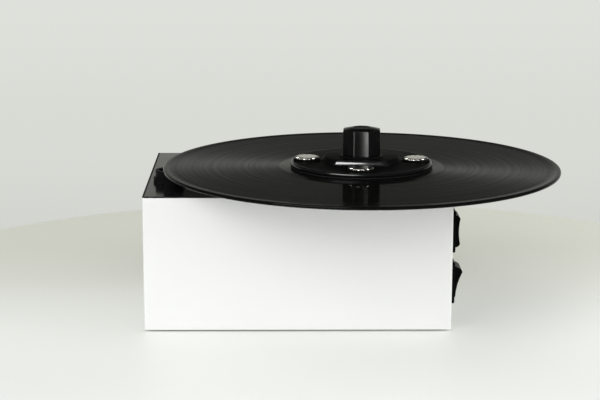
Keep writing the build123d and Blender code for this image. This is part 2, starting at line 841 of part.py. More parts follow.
with BuildPart() as clamp_collars:
    with BuildSketch(over_spindle(disc_top, clamp_angle)):
        with PolarLocations(clamp_screw_circle, 4):
            Circle(clamp_collar_radius)
    extrude(amount=clamp_collar_height)
    chamfer(clamp_collars.edges().group_by(Axis.Z)[-1], edge_break)
    with BuildSketch(over_spindle(disc_top, clamp_angle)):
        with PolarLocations(clamp_screw_circle, 4):
            Circle(clamp_shank_radius + screw_fit)
    extrude(amount=clamp_collar_height, mode=Mode.SUBTRACT)
clamp_collars.part.label = "clamp_collars"
export_step(clamp_collars.part, "parts/clamp_collars.step")

# Bright fluted screws: flutes round each head, shanks down into the lower plate.
flute_radius = 1.0
head_under = disc_top + clamp_collar_height
with BuildPart() as clamp_screws:
    with BuildSketch(over_spindle(head_under, clamp_angle)):
        with PolarLocations(clamp_screw_circle, 4):
            Circle(clamp_head_radius)
    extrude(amount=clamp_head_height)
    chamfer(clamp_screws.edges().group_by(Axis.Z)[-1], edge_break)
    with BuildSketch(over_spindle(head_under, clamp_angle)):
        with PolarLocations(clamp_screw_circle, 4):
            with PolarLocations(clamp_head_radius, clamp_head_flutes):
                Circle(flute_radius)
    extrude(amount=clamp_head_height - 2 * edge_break, mode=Mode.SUBTRACT)
    with BuildSketch(over_spindle(clamp_base_under + edge_break, clamp_angle)):
        with PolarLocations(clamp_screw_circle, 4):
            Circle(clamp_shank_radius)
    extrude(amount=head_under - clamp_base_under - edge_break)
clamp_screws.part.label = "clamp_screws"
export_step(clamp_screws.part, "parts/clamp_screws.step")

with BuildPart() as knob_washer:
    with BuildSketch(over_spindle(hub_top)):
        Circle(washer_radius)
        Circle(insert_radius + thread_fit, mode=Mode.SUBTRACT)
    extrude(amount=washer_thickness)
knob_washer.part.label = "knob_washer"
export_step(knob_washer.part, "parts/knob_washer.step")

# Eight-sided knob with a slight draft, its top turned to a shallow cone round a flat crown and
# its foot to a small chamfer, with a pocket for the cap.
cap_pocket = knob_cap_radius + screw_fit
crown_slope = (knob_height - knob_straight) / (knob_flats / 2 - knob_crown)
with BuildPart() as clamp_knob:
    with BuildSketch(over_spindle(knob_top, clamp_angle)) as octagon:
        RegularPolygon(knob_flats / 2, 8, major_radius=False, rotation=22.5)
        fillet(octagon.vertices(), knob_corner)
    extrude(amount=-knob_height, taper=-knob_draft)
    with BuildSketch(SPINDLE_PROFILE):
        with BuildLine():
            Polyline(
                (0, knob_top),
                (0, knob_under),
                (knob_flats / 2 - knob_foot, knob_under),
                (knob_flats, knob_under + knob_flats / 2 + knob_foot),
                (knob_flats, knob_top - (knob_flats - knob_crown) * crown_slope),
                (knob_crown, knob_top),
                close=True,
            )
        make_face()
    revolve(axis=SPINDLE_AXIS, mode=Mode.INTERSECT)
    shoulder_low = knob_under + knob_straight - knob_foot
    fillet(clamp_knob.edges().filter_by_position(Axis.Z, shoulder_low, knob_top - edge_break), knob_edge)
    with BuildSketch(over_spindle(knob_top)):
        Circle(cap_pocket)
    extrude(amount=-knob_cap_thickness, mode=Mode.SUBTRACT)
    with BuildSketch(over_spindle(knob_under)):
        Circle(insert_radius + push_fit)
    extrude(amount=insert_reach, mode=Mode.SUBTRACT)
clamp_knob.part.label = "clamp_knob"
export_step(clamp_knob.part, "parts/clamp_knob.step")

with BuildPart() as knob_cap:
    with BuildSketch(over_spindle(knob_top - knob_cap_thickness)):
        Circle(knob_cap_radius)
    extrude(amount=knob_cap_thickness - edge_break)
    chamfer(knob_cap.edges().group_by(Axis.Z)[-1], edge_break)
knob_cap.part.label = "knob_cap"
export_step(knob_cap.part, "parts/knob_cap.step")

# Brass insert in the knob; a ring near its foot keeps the knob in the clamp.
clip_bottom = insert_bottom + clip_thickness
with BuildPart() as knob_insert:
    with BuildSketch(SPINDLE_PROFILE):
        with BuildLine():
            Polyline(
                (pin_radius + thread_fit, insert_bottom),
                (insert_radius, insert_bottom),
                (insert_radius, clip_bottom),
                (insert_radius - clip_groove, clip_bottom),
                (insert_radius - clip_groove, clip_bottom + clip_thickness),
                (insert_radius, clip_bottom + clip_thickness),
                (insert_radius, insert_top),
                (pin_radius + thread_fit, insert_top),
                close=True,
            )
        make_face()
    revolve(axis=SPINDLE_AXIS)
knob_insert.part.label = "knob_insert"
export_step(knob_insert.part, "parts/knob_insert.step")

with BuildPart() as insert_clip:
    with BuildSketch(over_spindle(clip_bottom + screw_fit)):
        Circle(insert_radius + clip_width)
        Circle(insert_radius - clip_groove + push_fit, mode=Mode.SUBTRACT)
    extrude(amount=clip_thickness - 2 * screw_fit)
insert_clip.part.label = "insert_clip"
export_step(insert_clip.part, "parts/insert_clip.step")


# ---------------------------------------------------------------- suction arm socket and hose
# Collar on the top plate with the arm's bore; a step below it narrows to the hose spigot.
with BuildPart() as arm_socket:
    with BuildSketch(SOCKET_PROFILE):
        with BuildLine():
            Polyline(
                (hose_bore, socket_floor - hose_grip),
                (hose_spigot, socket_floor - hose_grip),
                (hose_spigot, socket_floor),
                (socket_radius, socket_floor),
                (socket_radius, case_top),
                (socket_flange, case_top),
                (socket_flange, case_top + socket_flange_height - edge_break),
                (socket_flange - edge_break, case_top + socket_flange_height),
                (socket_radius, case_top + socket_flange_height),
                (socket_radius, socket_top - edge_break),
                (socket_radius - edge_break, socket_top),
                (socket_bore, socket_top),
                (socket_bore, socket_floor + spigot_wall),
                (hose_bore, socket_floor + spigot_wall),
                close=True,
            )
        make_face()
    revolve(axis=SOCKET_AXIS)
arm_socket.part.label = "arm_socket"
export_step(arm_socket.part, "parts/arm_socket.step")

nut_height = 5.0
with BuildPart() as arm_socket_nut:
    with BuildSketch(Plane(origin=(socket_x, spindle_y, plate_under - nut_height))):
        RegularPolygon(socket_flange, 6, major_radius=False)
        Circle(socket_radius + screw_fit, mode=Mode.SUBTRACT)
    extrude(amount=nut_height)
arm_socket_nut.part.label = "arm_socket_nut"
export_step(arm_socket_nut.part, "parts/arm_socket_nut.step")

with BuildPart() as suction_hose:
    with BuildSketch(Plane(origin=(socket_x, spindle_y, lid_top))):
        Circle(hose_spigot + screw_fit + hose_wall)
        Circle(hose_spigot + screw_fit, mode=Mode.SUBTRACT)
    extrude(amount=socket_floor - lid_top)
suction_hose.part.label = "suction_hose"
export_step(suction_hose.part, "parts/suction_hose.step")


# ---------------------------------------------------------------- waste tank
# Moulded tank: rounded corners, screw bosses inside, air outlet and drain on its rear wall.
boss_places = [
    (tank_x + sx * boss_reach_x, tank_y + sy * boss_reach_y) for sx in (-1, 1) for sy in (-1, 1)
]
with BuildPart() as waste_tank:
    with BuildSketch(Plane(origin=(tank_x, tank_y, base_top))):
        RectangleRounded(tank_width, tank_length, tank_corner)
    extrude(amount=tank_height)
    with BuildSketch(Plane(origin=(tank_x, tank_y, base_top + tank_wall))):
        RectangleRounded(
            tank_width - 2 * tank_wall, tank_length - 2 * tank_wall, tank_corner - tank_wall
        )
    extrude(amount=tank_height, mode=Mode.SUBTRACT)
    with BuildSketch(Plane.XY.offset(base_top)):
        with Locations(*boss_places):
            Circle(boss_radius)
    extrude(amount=tank_height)
    with Locations(*[(x, y, tank_top) for x, y in boss_places]):
        Hole(tap_radius, depth=post_tap)
    for x, z, bore, wall in (
        (blower_x, blower_z, air_bore, spigot_wall),
        (drain_x, drain_z, drain_bore, drain_radius - drain_bore),
    ):
        with BuildSketch(across(x, tank_back, z)):
            Circle(bore + wall)
        extrude(amount=tank_spigot)
        with BuildSketch(across(x, tank_back - tank_wall, z)):
            Circle(bore)
        extrude(amount=tank_wall + tank_spigot, mode=Mode.SUBTRACT)
waste_tank.part.label = "waste_tank"
export_step(waste_tank.part, "parts/waste_tank.step")

with BuildPart() as tank_gasket:
    with BuildSketch(Plane(origin=(tank_x, tank_y, tank_top))):
        RectangleRounded(tank_width, tank_length, tank_corner)
        RectangleRounded(
            tank_width - 4 * boss_radius, tank_length - 4 * boss_radius, tank_corner, mode=Mode.SUBTRACT
        )
        with Locations(*[(x - tank_x, y - tank_y) for x, y in boss_places]):
            Circle(tap_radius, mode=Mode.SUBTRACT)
    extrude(amount=gasket_thickness)
tank_gasket.part.label = "tank_gasket"
export_step(tank_gasket.part, "parts/tank_gasket.step")

# Lid with the hose spigot and a baffle that keeps spray away from the air outlet.
with BuildPart() as tank_lid:
    with BuildSketch(Plane(origin=(tank_x, tank_y, lid_under))):
        RectangleRounded(tank_width, tank_length, tank_corner)
    extrude(amount=lid_thickness)
    with BuildSketch(Plane(origin=(socket_x, spindle_y, lid_top))):
        Circle(hose_spigot)
    extrude(amount=lid_spigot_height)
    with BuildSketch(Plane.XY.offset(lid_under)):
        with Locations((baffle_x, tank_y)):
            Rectangle(tank_wall, tank_length - 4 * boss_radius - 2 * baffle_gap)
    extrude(amount=-baffle_depth)
    with Locations((socket_x, spindle_y, lid_top + lid_spigot_height)):
        Hole(hose_bore, depth=lid_spigot_height + lid_thickness)
    with Locations(*[(x, y, lid_top) for x, y in boss_places]):
        Hole(tap_radius, depth=lid_thickness)
tank_lid.part.label = "tank_lid"
export_step(tank_lid.part, "parts/tank_lid.step")

# Drain: tube along the base, bulkhead spigot through the rear panel and a pull-off cap.
drain_tube_wall = 1.5
with BuildPart() as drain_tube:
    with BuildSketch(across(drain_x, tank_back + hose_gap, drain_z)):
        Circle(drain_radius + screw_fit + drain_tube_wall)
        Circle(drain_radius + screw_fit, mode=Mode.SUBTRACT)
    extrude(amount=rear_inside - tank_back - 2 * hose_gap)
drain_tube.part.label = "drain_tube"
export_step(drain_tube.part, "parts/drain_tube.step")

drain_end = rear_face + drain_flange_thickness + drain_reach
with BuildPart() as drain_spigot:
    with BuildSketch(DRAIN_PROFILE):
        with BuildLine():
            Polyline(
                (drain_bore - drain_step, rear_inside - hose_grip),
                (drain_radius, rear_inside - hose_grip),
                (drain_radius, rear_face),
                (drain_flange, rear_face),
                (drain_flange, rear_face + drain_flange_thickness),
                (drain_barb - drain_step, rear_face + drain_flange_thickness),
                (drain_barb - drain_step, drain_end - barb_length),
                (drain_barb, drain_end - barb_length),
                (drain_barb - 2 * drain_step, drain_end),
                (drain_bore - drain_step, drain_end),
                close=True,
            )
        make_face()
    revolve(axis=DRAIN_AXIS)
drain_spigot.part.label = "drain_spigot"
export_step(drain_spigot.part, "parts/drain_spigot.step")

with BuildPart() as drain_cap:
    with BuildSketch(across(drain_x, rear_face + drain_flange_thickness, drain_z)):
        Circle(drain_barb + cap_wall)
    extrude(amount=drain_reach + cap_wall)
    chamfer(drain_cap.edges().sort_by(Axis.Y)[-1], cap_round)
    with BuildSketch(across(drain_x, rear_face + drain_flange_thickness, drain_z)):
        Circle(drain_barb + screw_fit)
    extrude(amount=drain_reach + screw_fit, mode=Mode.SUBTRACT)
drain_cap.part.label = "drain_cap"
export_step(drain_cap.part, "parts/drain_cap.step")


# ---------------------------------------------------------------- suction blower
with BuildPart() as air_sleeve:
    with BuildSketch(across(blower_x, tank_back + hose_gap / 2, blower_z)):
        Circle(air_bore + spigot_wall + screw_fit + sleeve_wall)
        Circle(air_bore + spigot_wall + screw_fit, mode=Mode.SUBTRACT)
    extrude(amount=blower_front - tank_back - hose_gap)
air_sleeve.part.label = "air_sleeve"
export_step(air_sleeve.part, "parts/air_sleeve.step")

with BuildPart() as blower_cover:
    with BuildSketch(BLOWER_PROFILE):
        with BuildLine():
            Polyline(
                (air_bore, blower_front - air_spigot),
                (air_bore + spigot_wall, blower_front - air_spigot),
                (air_bore + spigot_wall, blower_front),
                (blower_radius, blower_front),
                (blower_radius, fan_wall),
                (eye_radius, fan_wall),
                (air_bore, blower_front),
                close=True,
            )
        make_face()
    revolve(axis=BLOWER_AXIS)
blower_cover.part.label = "blower_cover"
export_step(blower_cover.part, "parts/blower_cover.step")

# One tube holds the fan in front of a vented bulkhead and leads its air over the motor.
vane_windows = 6
window_length = 25.0
window_width = 5.0
window_circle = (blower_motor_radius + blower_radius - blower_wall) / 2
with BuildPart() as blower_housing:
    with BuildSketch(across(blower_x, fan_wall, blower_z)):
        Circle(blower_radius)
        Circle(blower_radius - blower_wall, mode=Mode.SUBTRACT)
    extrude(amount=rear_inside - fan_wall)
    with BuildSketch(across(blower_x, bulkhead_face, blower_z)):
        Circle(blower_radius - blower_wall)
        Circle(fan_hub_radius, mode=Mode.SUBTRACT)
        with PolarLocations(0, vane_windows):
            with Locations((window_circle, 0)):
                SlotOverall(window_length, window_width, rotation=90, mode=Mode.SUBTRACT)
    extrude(amount=bulkhead)
blower_housing.part.label = "blower_housing"
export_step(blower_housing.part, "parts/blower_housing.step")

# Closed centrifugal fan: back plate, backward-curved blades, front ring and hub.
blade_sweep = 48.0
blade_bow = 0.36
fan_front = fan_wall + (fan_depth - fan_height) / 2
with BuildPart() as blower_impeller:
    with BuildSketch(across(blower_x, fan_front + fan_height - fan_plate, blower_z)):
        Circle(fan_radius)
    extrude(amount=fan_plate)
    with BuildSketch(across(blower_x, fan_front + fan_plate, blower_z)):
        for blade in range(fan_blades):
            start = blade * 360 / fan_blades
            with BuildLine():
                ThreePointArc(
                    polar(eye_radius + 2 * blade_inset, start),
                    polar((eye_radius + fan_radius) / 2, start + blade_bow * blade_sweep),
                    polar(fan_radius - blade_inset, start + blade_sweep),
                )
            trace(line_width=blade_thickness)
    extrude(amount=fan_height - 2 * fan_plate)
    with BuildSketch(across(blower_x, fan_front, blower_z)):
        Circle(fan_radius)
        Circle(eye_radius, mode=Mode.SUBTRACT)
    extrude(amount=fan_plate)
    with BuildSketch(across(blower_x, fan_front + fan_plate, blower_z)):
        Circle(fan_hub_radius - fan_hub_gap)
    extrude(amount=fan_height - fan_plate + fan_hub_gap)
    with BuildSketch(across(blower_x, fan_front, blower_z)):
        Circle(blower_shaft_radius + push_fit)
    extrude(amount=2 * fan_height, mode=Mode.SUBTRACT)
blower_impeller.part.label = "blower_impeller"
export_step(blower_impeller.part, "parts/blower_impeller.step")

motor_bore_depth = blower_motor_length - blower_motor_end
shaft_end_gap = 1.0
with BuildPart() as blower_shaft:
    with BuildSketch(across(blower_x, fan_front + fan_plate, blower_z)):
        Circle(blower_shaft_radius)
    extrude(amount=motor_face + motor_bore_depth - shaft_end_gap - fan_front - fan_plate)
blower_shaft.part.label = "blower_shaft"
export_step(blower_shaft.part, "parts/blower_shaft.step")

with BuildPart() as blower_motor:
    with BuildSketch(across(blower_x, motor_face, blower_z)):
        Circle(blower_motor_radius)
    extrude(amount=blower_motor_length)
    chamfer(blower_motor.edges().sort_by(Axis.Y)[-1], blower_motor_round)
    with BuildSketch(across(blower_x, motor_face, blower_z)):
        Circle(blower_shaft_radius + running_fit)
    extrude(amount=motor_bore_depth, mode=Mode.SUBTRACT)
blower_motor.part.label = "blower_motor"
export_step(blower_motor.part, "parts/blower_motor.step")

# Two arched saddles stand on the base and cradle the tube.
saddle_height = blower_z - base_top - blower_radius / 2
with BuildPart() as blower_saddles:
    for saddle_y in saddle_places:
        with BuildSketch(Plane.XZ.offset(-saddle_y)):
            with Locations((blower_x, base_top)):
                Rectangle(saddle_width, saddle_height, align=(Align.CENTER, Align.MIN))
            with Locations((blower_x, blower_z)):
                Circle(blower_radius + cradle_gap, mode=Mode.SUBTRACT)
            with Locations((blower_x, base_top)):
                Rectangle(saddle_width, saddle_base, align=(Align.CENTER, Align.MIN))
        extrude(amount=saddle_thickness)
blower_saddles.part.label = "blower_saddles"
export_step(blower_saddles.part, "parts/blower_saddles.step")


# ---------------------------------------------------------------- rocker switches
# A frame in the right wall for each switch: bezel outside, round-bottomed well for the rocker.
cavity_radius = rocker_radius + rocker_gap
cavity_width = rocker_width + 2 * rocker_gap
with BuildPart() as switch_frames:
    for level in switch_levels:
        with BuildSketch(Plane(origin=(bezel_face, switch_y, level), x_dir=(0, 1, 0), z_dir=(1, 0, 0))):
            RectangleRounded(bezel_width, bezel_length, bezel_corner)
        extrude(amount=-bezel_proud)
    chamfer(switch_frames.faces().sort_by(Axis.X)[-2:].edges(), 2 * edge_break)
    for level in switch_levels:
        with BuildSketch(
            Plane(origin=(case_width / 2, switch_y, level), x_dir=(0, 1, 0), z_dir=(1, 0, 0))
        ):
            Rectangle(switch_body_width, switch_body_length)
        extrude(amount=-switch_body_depth)
        with BuildSketch(Plane(origin=(pivot_x, switch_y, level), x_dir=(1, 0, 0), z_dir=(0, -1, 0))):
            Circle(cavity_radius)
        extrude(amount=cavity_width / 2, both=True, mode=Mode.SUBTRACT)
        with BuildSketch(Plane(origin=(pivot_x, switch_y, level), x_dir=(1, 0, 0), z_dir=(0, -1, 0))):
            Circle(pivot_radius + running_fit)
        extrude(amount=switch_body_width / 2, both=True, mode=Mode.SUBTRACT)
switch_frames.part.label = "switch_frames"
export_step(switch_frames.part, "parts/switch_frames.step")


def rocker(level, tilt):
    """Rocker on its pivot: hollow waist between two crests, round ends, pin stubs at the sides.

    The tilt is in degrees, positive with the upper end out.
    """
    turn = radians(tilt)
    plane = Plane(
        origin=(pivot_x, switch_y, level),
        x_dir=(sin(turn), 0, cos(turn)),
        z_dir=(0, 1, 0),
    )
    crest = (rocker_crest, pivot_depth + crest_height)
    shoulder_height = pivot_depth + shoulder_rise
    shoulder = (sqrt(rocker_radius**2 - shoulder_height**2), shoulder_height)
    skirt = (sqrt(rocker_radius**2 - rocker_skirt**2), -rocker_skirt)
    with BuildPart() as piece:
        with BuildSketch(plane):
            with BuildLine():
                ThreePointArc(
                    (-crest[0], crest[1]), (0, pivot_depth + waist_height), (crest[0], crest[1])
                )
                ThreePointArc(
                    crest, ((crest[0] + shoulder[0]) / 2 + crest_bulge, crest[1] - crest_drop), shoulder
                )
                RadiusArc(shoulder, skirt, rocker_radius)
                Line(skirt, (-skirt[0], skirt[1]))
                RadiusArc((-skirt[0], skirt[1]), (-shoulder[0], shoulder[1]), rocker_radius)
                ThreePointArc(
                    (-shoulder[0], shoulder[1]),
                    (-(crest[0] + shoulder[0]) / 2 - crest_bulge, crest[1] - crest_drop),
                    (-crest[0], crest[1]),
                )
            make_face()
        extrude(amount=rocker_width / 2, both=True)
        with BuildSketch(plane):
            Circle(pivot_radius)
        extrude(amount=switch_body_width / 2 - rocker_gap, both=True)
    return piece


motor_rocker = rocker(switch_levels[1], 0.0)
motor_rocker.part.label = "motor_rocker"
export_step(motor_rocker.part, "parts/motor_rocker.step")

vacuum_rocker = rocker(switch_levels[0], rocker_tilt)
vacuum_rocker.part.label = "vacuum_rocker"
export_step(vacuum_rocker.part, "parts/vacuum_rocker.step")

with BuildPart() as switch_terminals:
    with BuildSketch(
        Plane(origin=(case_width / 2 - switch_body_depth, switch_y, 0), x_dir=(0, 1, 0), z_dir=(-1, 0, 0))
    ):
        for level in switch_levels:
            with Locations((0, -level)):
                with GridLocations(0, switch_body_length / 3, 1, 3):
                    Rectangle(blade_width, terminal_thickness)
    extrude(amount=blade_length)
switch_terminals.part.label = "switch_terminals"
export_step(switch_terminals.part, "parts/switch_terminals.step")


# ---------------------------------------------------------------- electrics
# Mains inlet: flange outside the rear panel, socket with two cut corners, three pins.
with BuildPart() as mains_inlet:
    with BuildSketch(across(inlet_x, rear_face, inlet_z)):
        RectangleRounded(inlet_width + 2 * inlet_flange, inlet_height + 2 * inlet_flange, inlet_flange)
    extrude(amount=inlet_flange_thickness)
    with BuildSketch(across(inlet_x, rear_face, inlet_z)):
        Rectangle(inlet_width, inlet_height)
    extrude(amount=-inlet_depth)
    with BuildSketch(across(inlet_x, rear_face + inlet_flange_thickness, inlet_z)) as cavity:
        Rectangle(inlet_cavity_width, inlet_cavity_height)
        chamfer(cavity.vertices().group_by(Axis.Y)[0], inlet_chamfer)
    extrude(amount=-inlet_cavity_depth, mode=Mode.SUBTRACT)
mains_inlet.part.label = "mains_inlet"
export_step(mains_inlet.part, "parts/mains_inlet.step")

inlet_floor = rear_face + inlet_flange_thickness - inlet_cavity_depth
with BuildPart() as inlet_pins:
    with BuildSketch(across(inlet_x, inlet_floor, inlet_z)):
        with Locations((-pin_spread, pin_offset), (0, -pin_offset), (pin_spread, pin_offset)):
            Rectangle(pin_thickness, pin_width)
    extrude(amount=inlet_cavity_depth - pin_recess)
inlet_pins.part.label = "inlet_pins"
export_step(inlet_pins.part, "parts/inlet_pins.step")

board_under = base_top + board_lift
with BuildPart() as control_board:
    with BuildSketch(Plane(origin=(board_x, board_y, board_under))):
        Rectangle(board_width, board_length)
        with Locations(*[(x - board_x, y - board_y) for x, y in board_places]):
            Circle(tap_radius, mode=Mode.SUBTRACT)
    extrude(amount=board_thickness)
control_board.part.label = "control_board"
export_step(control_board.part, "parts/control_board.step")

# Each group on the board: outline, places and height.
capacitor_radius = 6.0
relay_width = 16.0
relay_length = 12.0
rectifier_width = 12.0
rectifier_length = 3.0
terminals_width = 8.0
terminals_length = 30.0
board_top = board_under + board_thickness
capacitor_height = 18.0
relay_height = 15.0
rectifier_height = 20.0
terminals_height = 10.0
row = board_length / 4 - board_margin / 4
column = board_width / 2 - board_margin
capacitor_places = ((-0.56 * column, -0.83 * row), (0.08 * column, -0.83 * row))
board_groups = (
    (Circle(capacitor_radius, mode=Mode.PRIVATE), capacitor_places, capacitor_height),
    (Rectangle(relay_width, relay_length, mode=Mode.PRIVATE), ((-0.48 * column, row),), relay_height),
    (
        Rectangle(rectifier_width, rectifier_length, mode=Mode.PRIVATE),
        ((0.32 * column, row),),
        rectifier_height,
    ),
    (
        Rectangle(terminals_width, terminals_length, mode=Mode.PRIVATE),
        ((0.84 * column, -row / 6),),
        terminals_height,
    ),
)
with BuildPart() as board_parts:
    for shape, places, height in board_groups:
        with BuildSketch(Plane(origin=(board_x, board_y, board_top))):
            with Locations(*places):
                add(shape)
        extrude(amount=height)
board_parts.part.label = "board_parts"
export_step(board_parts.part, "parts/board_parts.step")

# Laminated core with three limbs, standing on the base, and the coil on its middle limb.
window_span = core_width / 2 - 1.5 * core_limb
with BuildPart() as transformer_core:
    with BuildSketch(Plane.XZ.offset(-transformer_y)):
        with Locations((transformer_x, base_top + core_height / 2)):
            Rectangle(core_width, core_height)
            with GridLocations(core_limb + window_span, 0, 2, 1):
                Rectangle(window_span, core_height - 2 * core_limb, mode=Mode.SUBTRACT)
    extrude(amount=core_length / 2, both=True)
transformer_core.part.label = "transformer_core"
export_step(transformer_core.part, "parts/transformer_core.step")

coil_gap = 0.1
with BuildPart() as transformer_coil:
    with BuildSketch(Plane(origin=(transformer_x, transformer_y, base_top + core_limb + coil_gap))):
        RectangleRounded(core_width - 2 * core_limb - 2 * coil_gap, coil_length, coil_corner)
        Rectangle(core_limb + 2 * coil_gap, core_length + 2 * coil_gap, mode=Mode.SUBTRACT)
    extrude(amount=core_height - 2 * core_limb - 2 * coil_gap)
transformer_coil.part.label = "transformer_coil"
export_step(transformer_coil.part, "parts/transformer_coil.step")


# ---------------------------------------------------------------- screws
# Each group: bearing planes facing away from the thread, and the length below the head.
drive_screw_places = [
    (spindle_x + polar(standoff_circle, angle)[0], spindle_y + polar(standoff_circle, angle)[1])
    for angle in (standoff_start, standoff_start + 120, standoff_start + 240)
]
pan_groups = (
    (
        [facing_down(x, y, base_under - foot_web) for x, y in foot_places],
        foot_web + base_thickness - screw_fit,
    ),
    (
        [across(x, rear_face, z) for x in (-post_x, post_x) for z in rear_screw_levels],
        rear_thickness + rear_tap - tap_margin,
    ),
    (
        [facing_down(x, y, gearbox_top) for x, y in drive_screw_places],
        motor_plate_thickness + post_tap - tap_margin,
    ),
    (
        [Plane(origin=(x, y, lid_top)) for x, y in boss_places],
        lid_thickness + gasket_thickness + post_tap - tap_margin,
    ),
    (
        [Plane(origin=(x, y, board_top)) for x, y in board_places],
        board_thickness + board_lift - tap_margin,
    ),
)
with BuildPart() as pan_screws:
    for places, length in pan_groups:
        for place in places:
            with BuildSketch(place):
                Circle(head_radius)
            extrude(amount=pan_height)
            with BuildSketch(place):
                Circle(screw_radius)
            extrude(amount=-length)
pan_screws.part.label = "pan_screws"
export_step(pan_screws.part, "parts/pan_screws.step")

# Flat heads, flush with the surface they are sunk into.
bearing_screw_places = [
    (spindle_x + polar(bearing_screw_circle, angle)[0], spindle_y + polar(bearing_screw_circle, angle)[1])
    for angle in (bearing_screw_start, bearing_screw_start + 120, bearing_screw_start + 240)
]
gear_screw_places = [
    (spindle_x + polar(gear_screw_circle, angle)[0], spindle_y + polar(gear_screw_circle, angle)[1])
    for angle in (0, 90, 180, 270)
]
sunk_groups = (
    (
        [facing_down(x, y, case_bottom) for x, y in post_places + side_places],
        base_top - case_bottom + post_tap - tap_margin,
    ),
    (
        [Plane(origin=(x, y, case_top)) for x, y in bearing_screw_places],
        plate_lip + plate_core + bearing_flange_thickness - screw_fit,
    ),
    (
        [Plane(origin=(x, y, motor_plate_top)) for x, y in gear_screw_places],
        motor_plate_thickness + post_tap - tap_margin,
    ),
)
with BuildPart() as sunk_screws:
    for places, length in sunk_groups:
        for place in places:
            with BuildSketch(place):
                Circle(head_radius)
            extrude(amount=-sunk_height, taper=sunk_draft)
            with BuildSketch(place):
                Circle(screw_radius)
            extrude(amount=-length)
sunk_screws.part.label = "sunk_screws"
export_step(sunk_screws.part, "parts/sunk_screws.step")

with BuildPart() as platter_screws:
    with BuildSketch(over_spindle(platter_top)):
        with PolarLocations(hub_screw_circle, 3):
            Circle(head_radius)
    extrude(amount=-sunk_height, taper=sunk_draft)
    with BuildSketch(over_spindle(platter_top)):
        with PolarLocations(hub_screw_circle, 3):
            Circle(screw_radius)
    extrude(amount=-(platter_hub + hub_flange_thickness - screw_fit))
platter_screws.part.label = "platter_screws"
export_step(platter_screws.part, "parts/platter_screws.step")
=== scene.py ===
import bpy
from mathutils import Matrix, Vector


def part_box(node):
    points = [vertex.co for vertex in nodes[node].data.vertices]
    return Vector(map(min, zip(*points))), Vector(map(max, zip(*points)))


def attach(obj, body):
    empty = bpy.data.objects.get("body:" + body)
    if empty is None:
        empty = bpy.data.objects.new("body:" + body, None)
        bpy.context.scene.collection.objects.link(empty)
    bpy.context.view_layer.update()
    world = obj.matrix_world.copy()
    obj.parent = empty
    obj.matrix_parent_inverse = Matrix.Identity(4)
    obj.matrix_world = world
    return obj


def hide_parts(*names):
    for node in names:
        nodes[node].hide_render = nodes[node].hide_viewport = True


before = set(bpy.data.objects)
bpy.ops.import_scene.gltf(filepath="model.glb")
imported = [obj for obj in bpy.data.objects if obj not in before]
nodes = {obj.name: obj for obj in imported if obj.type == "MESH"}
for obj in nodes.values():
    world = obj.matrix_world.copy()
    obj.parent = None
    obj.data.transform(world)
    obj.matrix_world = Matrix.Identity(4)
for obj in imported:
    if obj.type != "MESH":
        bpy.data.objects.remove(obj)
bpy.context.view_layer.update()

from math import pi, radians

import bmesh
import bpy
import numpy as np
from mathutils import Matrix, Vector

# ---------------------------------------------------------------- studio
# A round white table before a pale backdrop. A soft lamp at the front left gives the sheen, and
# broad lamps in front and at the side, which gloss doesn't show, light the matt surfaces evenly.
studio = bpy.context.scene
studio.view_settings.view_transform = "Standard"
stand_place = (-0.01525, -1.308, 0.359)
stand_yaw = radians(-0.78)
stand_pitch = radians(78.0)
stand_roll = radians(0.13)
camera_data = bpy.data.cameras.new("studio_camera")
camera_data.sensor_width = 36.0
camera_data.lens = 102.4
camera = bpy.data.objects.new("studio_camera", camera_data)
camera.location = stand_place
camera.rotation_euler = (
    Matrix.Rotation(stand_yaw, 3, "Z")
    @ Matrix.Rotation(stand_pitch, 3, "X")
    @ Matrix.Rotation(stand_roll, 3, "Z")
).to_euler()
studio.collection.objects.link(camera)
studio.camera = camera

air_light = (0.895, 0.90, 0.882, 1.0)
air_mirrored = (0.03, 0.03, 0.03, 1.0)
world = bpy.data.worlds.new("studio_air")
world.use_nodes = True
air = world.node_tree
air_rays = air.nodes.new("ShaderNodeLightPath")
air_mix = air.nodes.new("ShaderNodeMix")
air_mix.data_type = "RGBA"
air_mix.inputs["A"].default_value = air_light
air_mix.inputs["B"].default_value = air_mirrored
air.links.new(air_rays.outputs["Is Glossy Ray"], air_mix.inputs["Factor"])
air.links.new(air_mix.outputs["Result"], air.nodes["Background"].inputs["Color"])
studio.world = world
lamp_target = Vector((0.0, 0.0, 0.08))


def soft_lamp(name, place, width, height, power, mirrored=True, scattered=True):
    """Area lamp at a place, turned to face the machine; one that isn't mirrored doesn't show in
    gloss, and one that isn't scattered shows in gloss alone."""
    data = bpy.data.lights.new(name, "AREA")
    data.shape = "RECTANGLE"
    data.size = width
    data.size_y = height
    data.energy = power
    lamp = bpy.data.objects.new(name, data)
    lamp.location = place
    lamp.rotation_euler = (lamp_target - Vector(place)).to_track_quat("-Z", "Y").to_euler()
    lamp.visible_glossy = mirrored
    lamp.visible_diffuse = scattered
    studio.collection.objects.link(lamp)


# The key lamp and the sheen lamp just behind it show as one in gloss.
soft_lamp("key_lamp", (-0.82, -1.36, 1.16), width=1.3, height=0.9, power=10.3)
soft_lamp("sheen_lamp", (-0.83, -1.377, 1.174), width=1.3, height=0.9, power=11.7, scattered=False)
soft_lamp("front_lamp", (-0.6, -2.27, 0.58), width=3.0, height=1.4, power=17.0, mirrored=False)
soft_lamp("side_lamp", (2.0, -0.4, 0.8), width=1.6, height=1.2, power=30.0, mirrored=False)


weld_distance = 1e-7


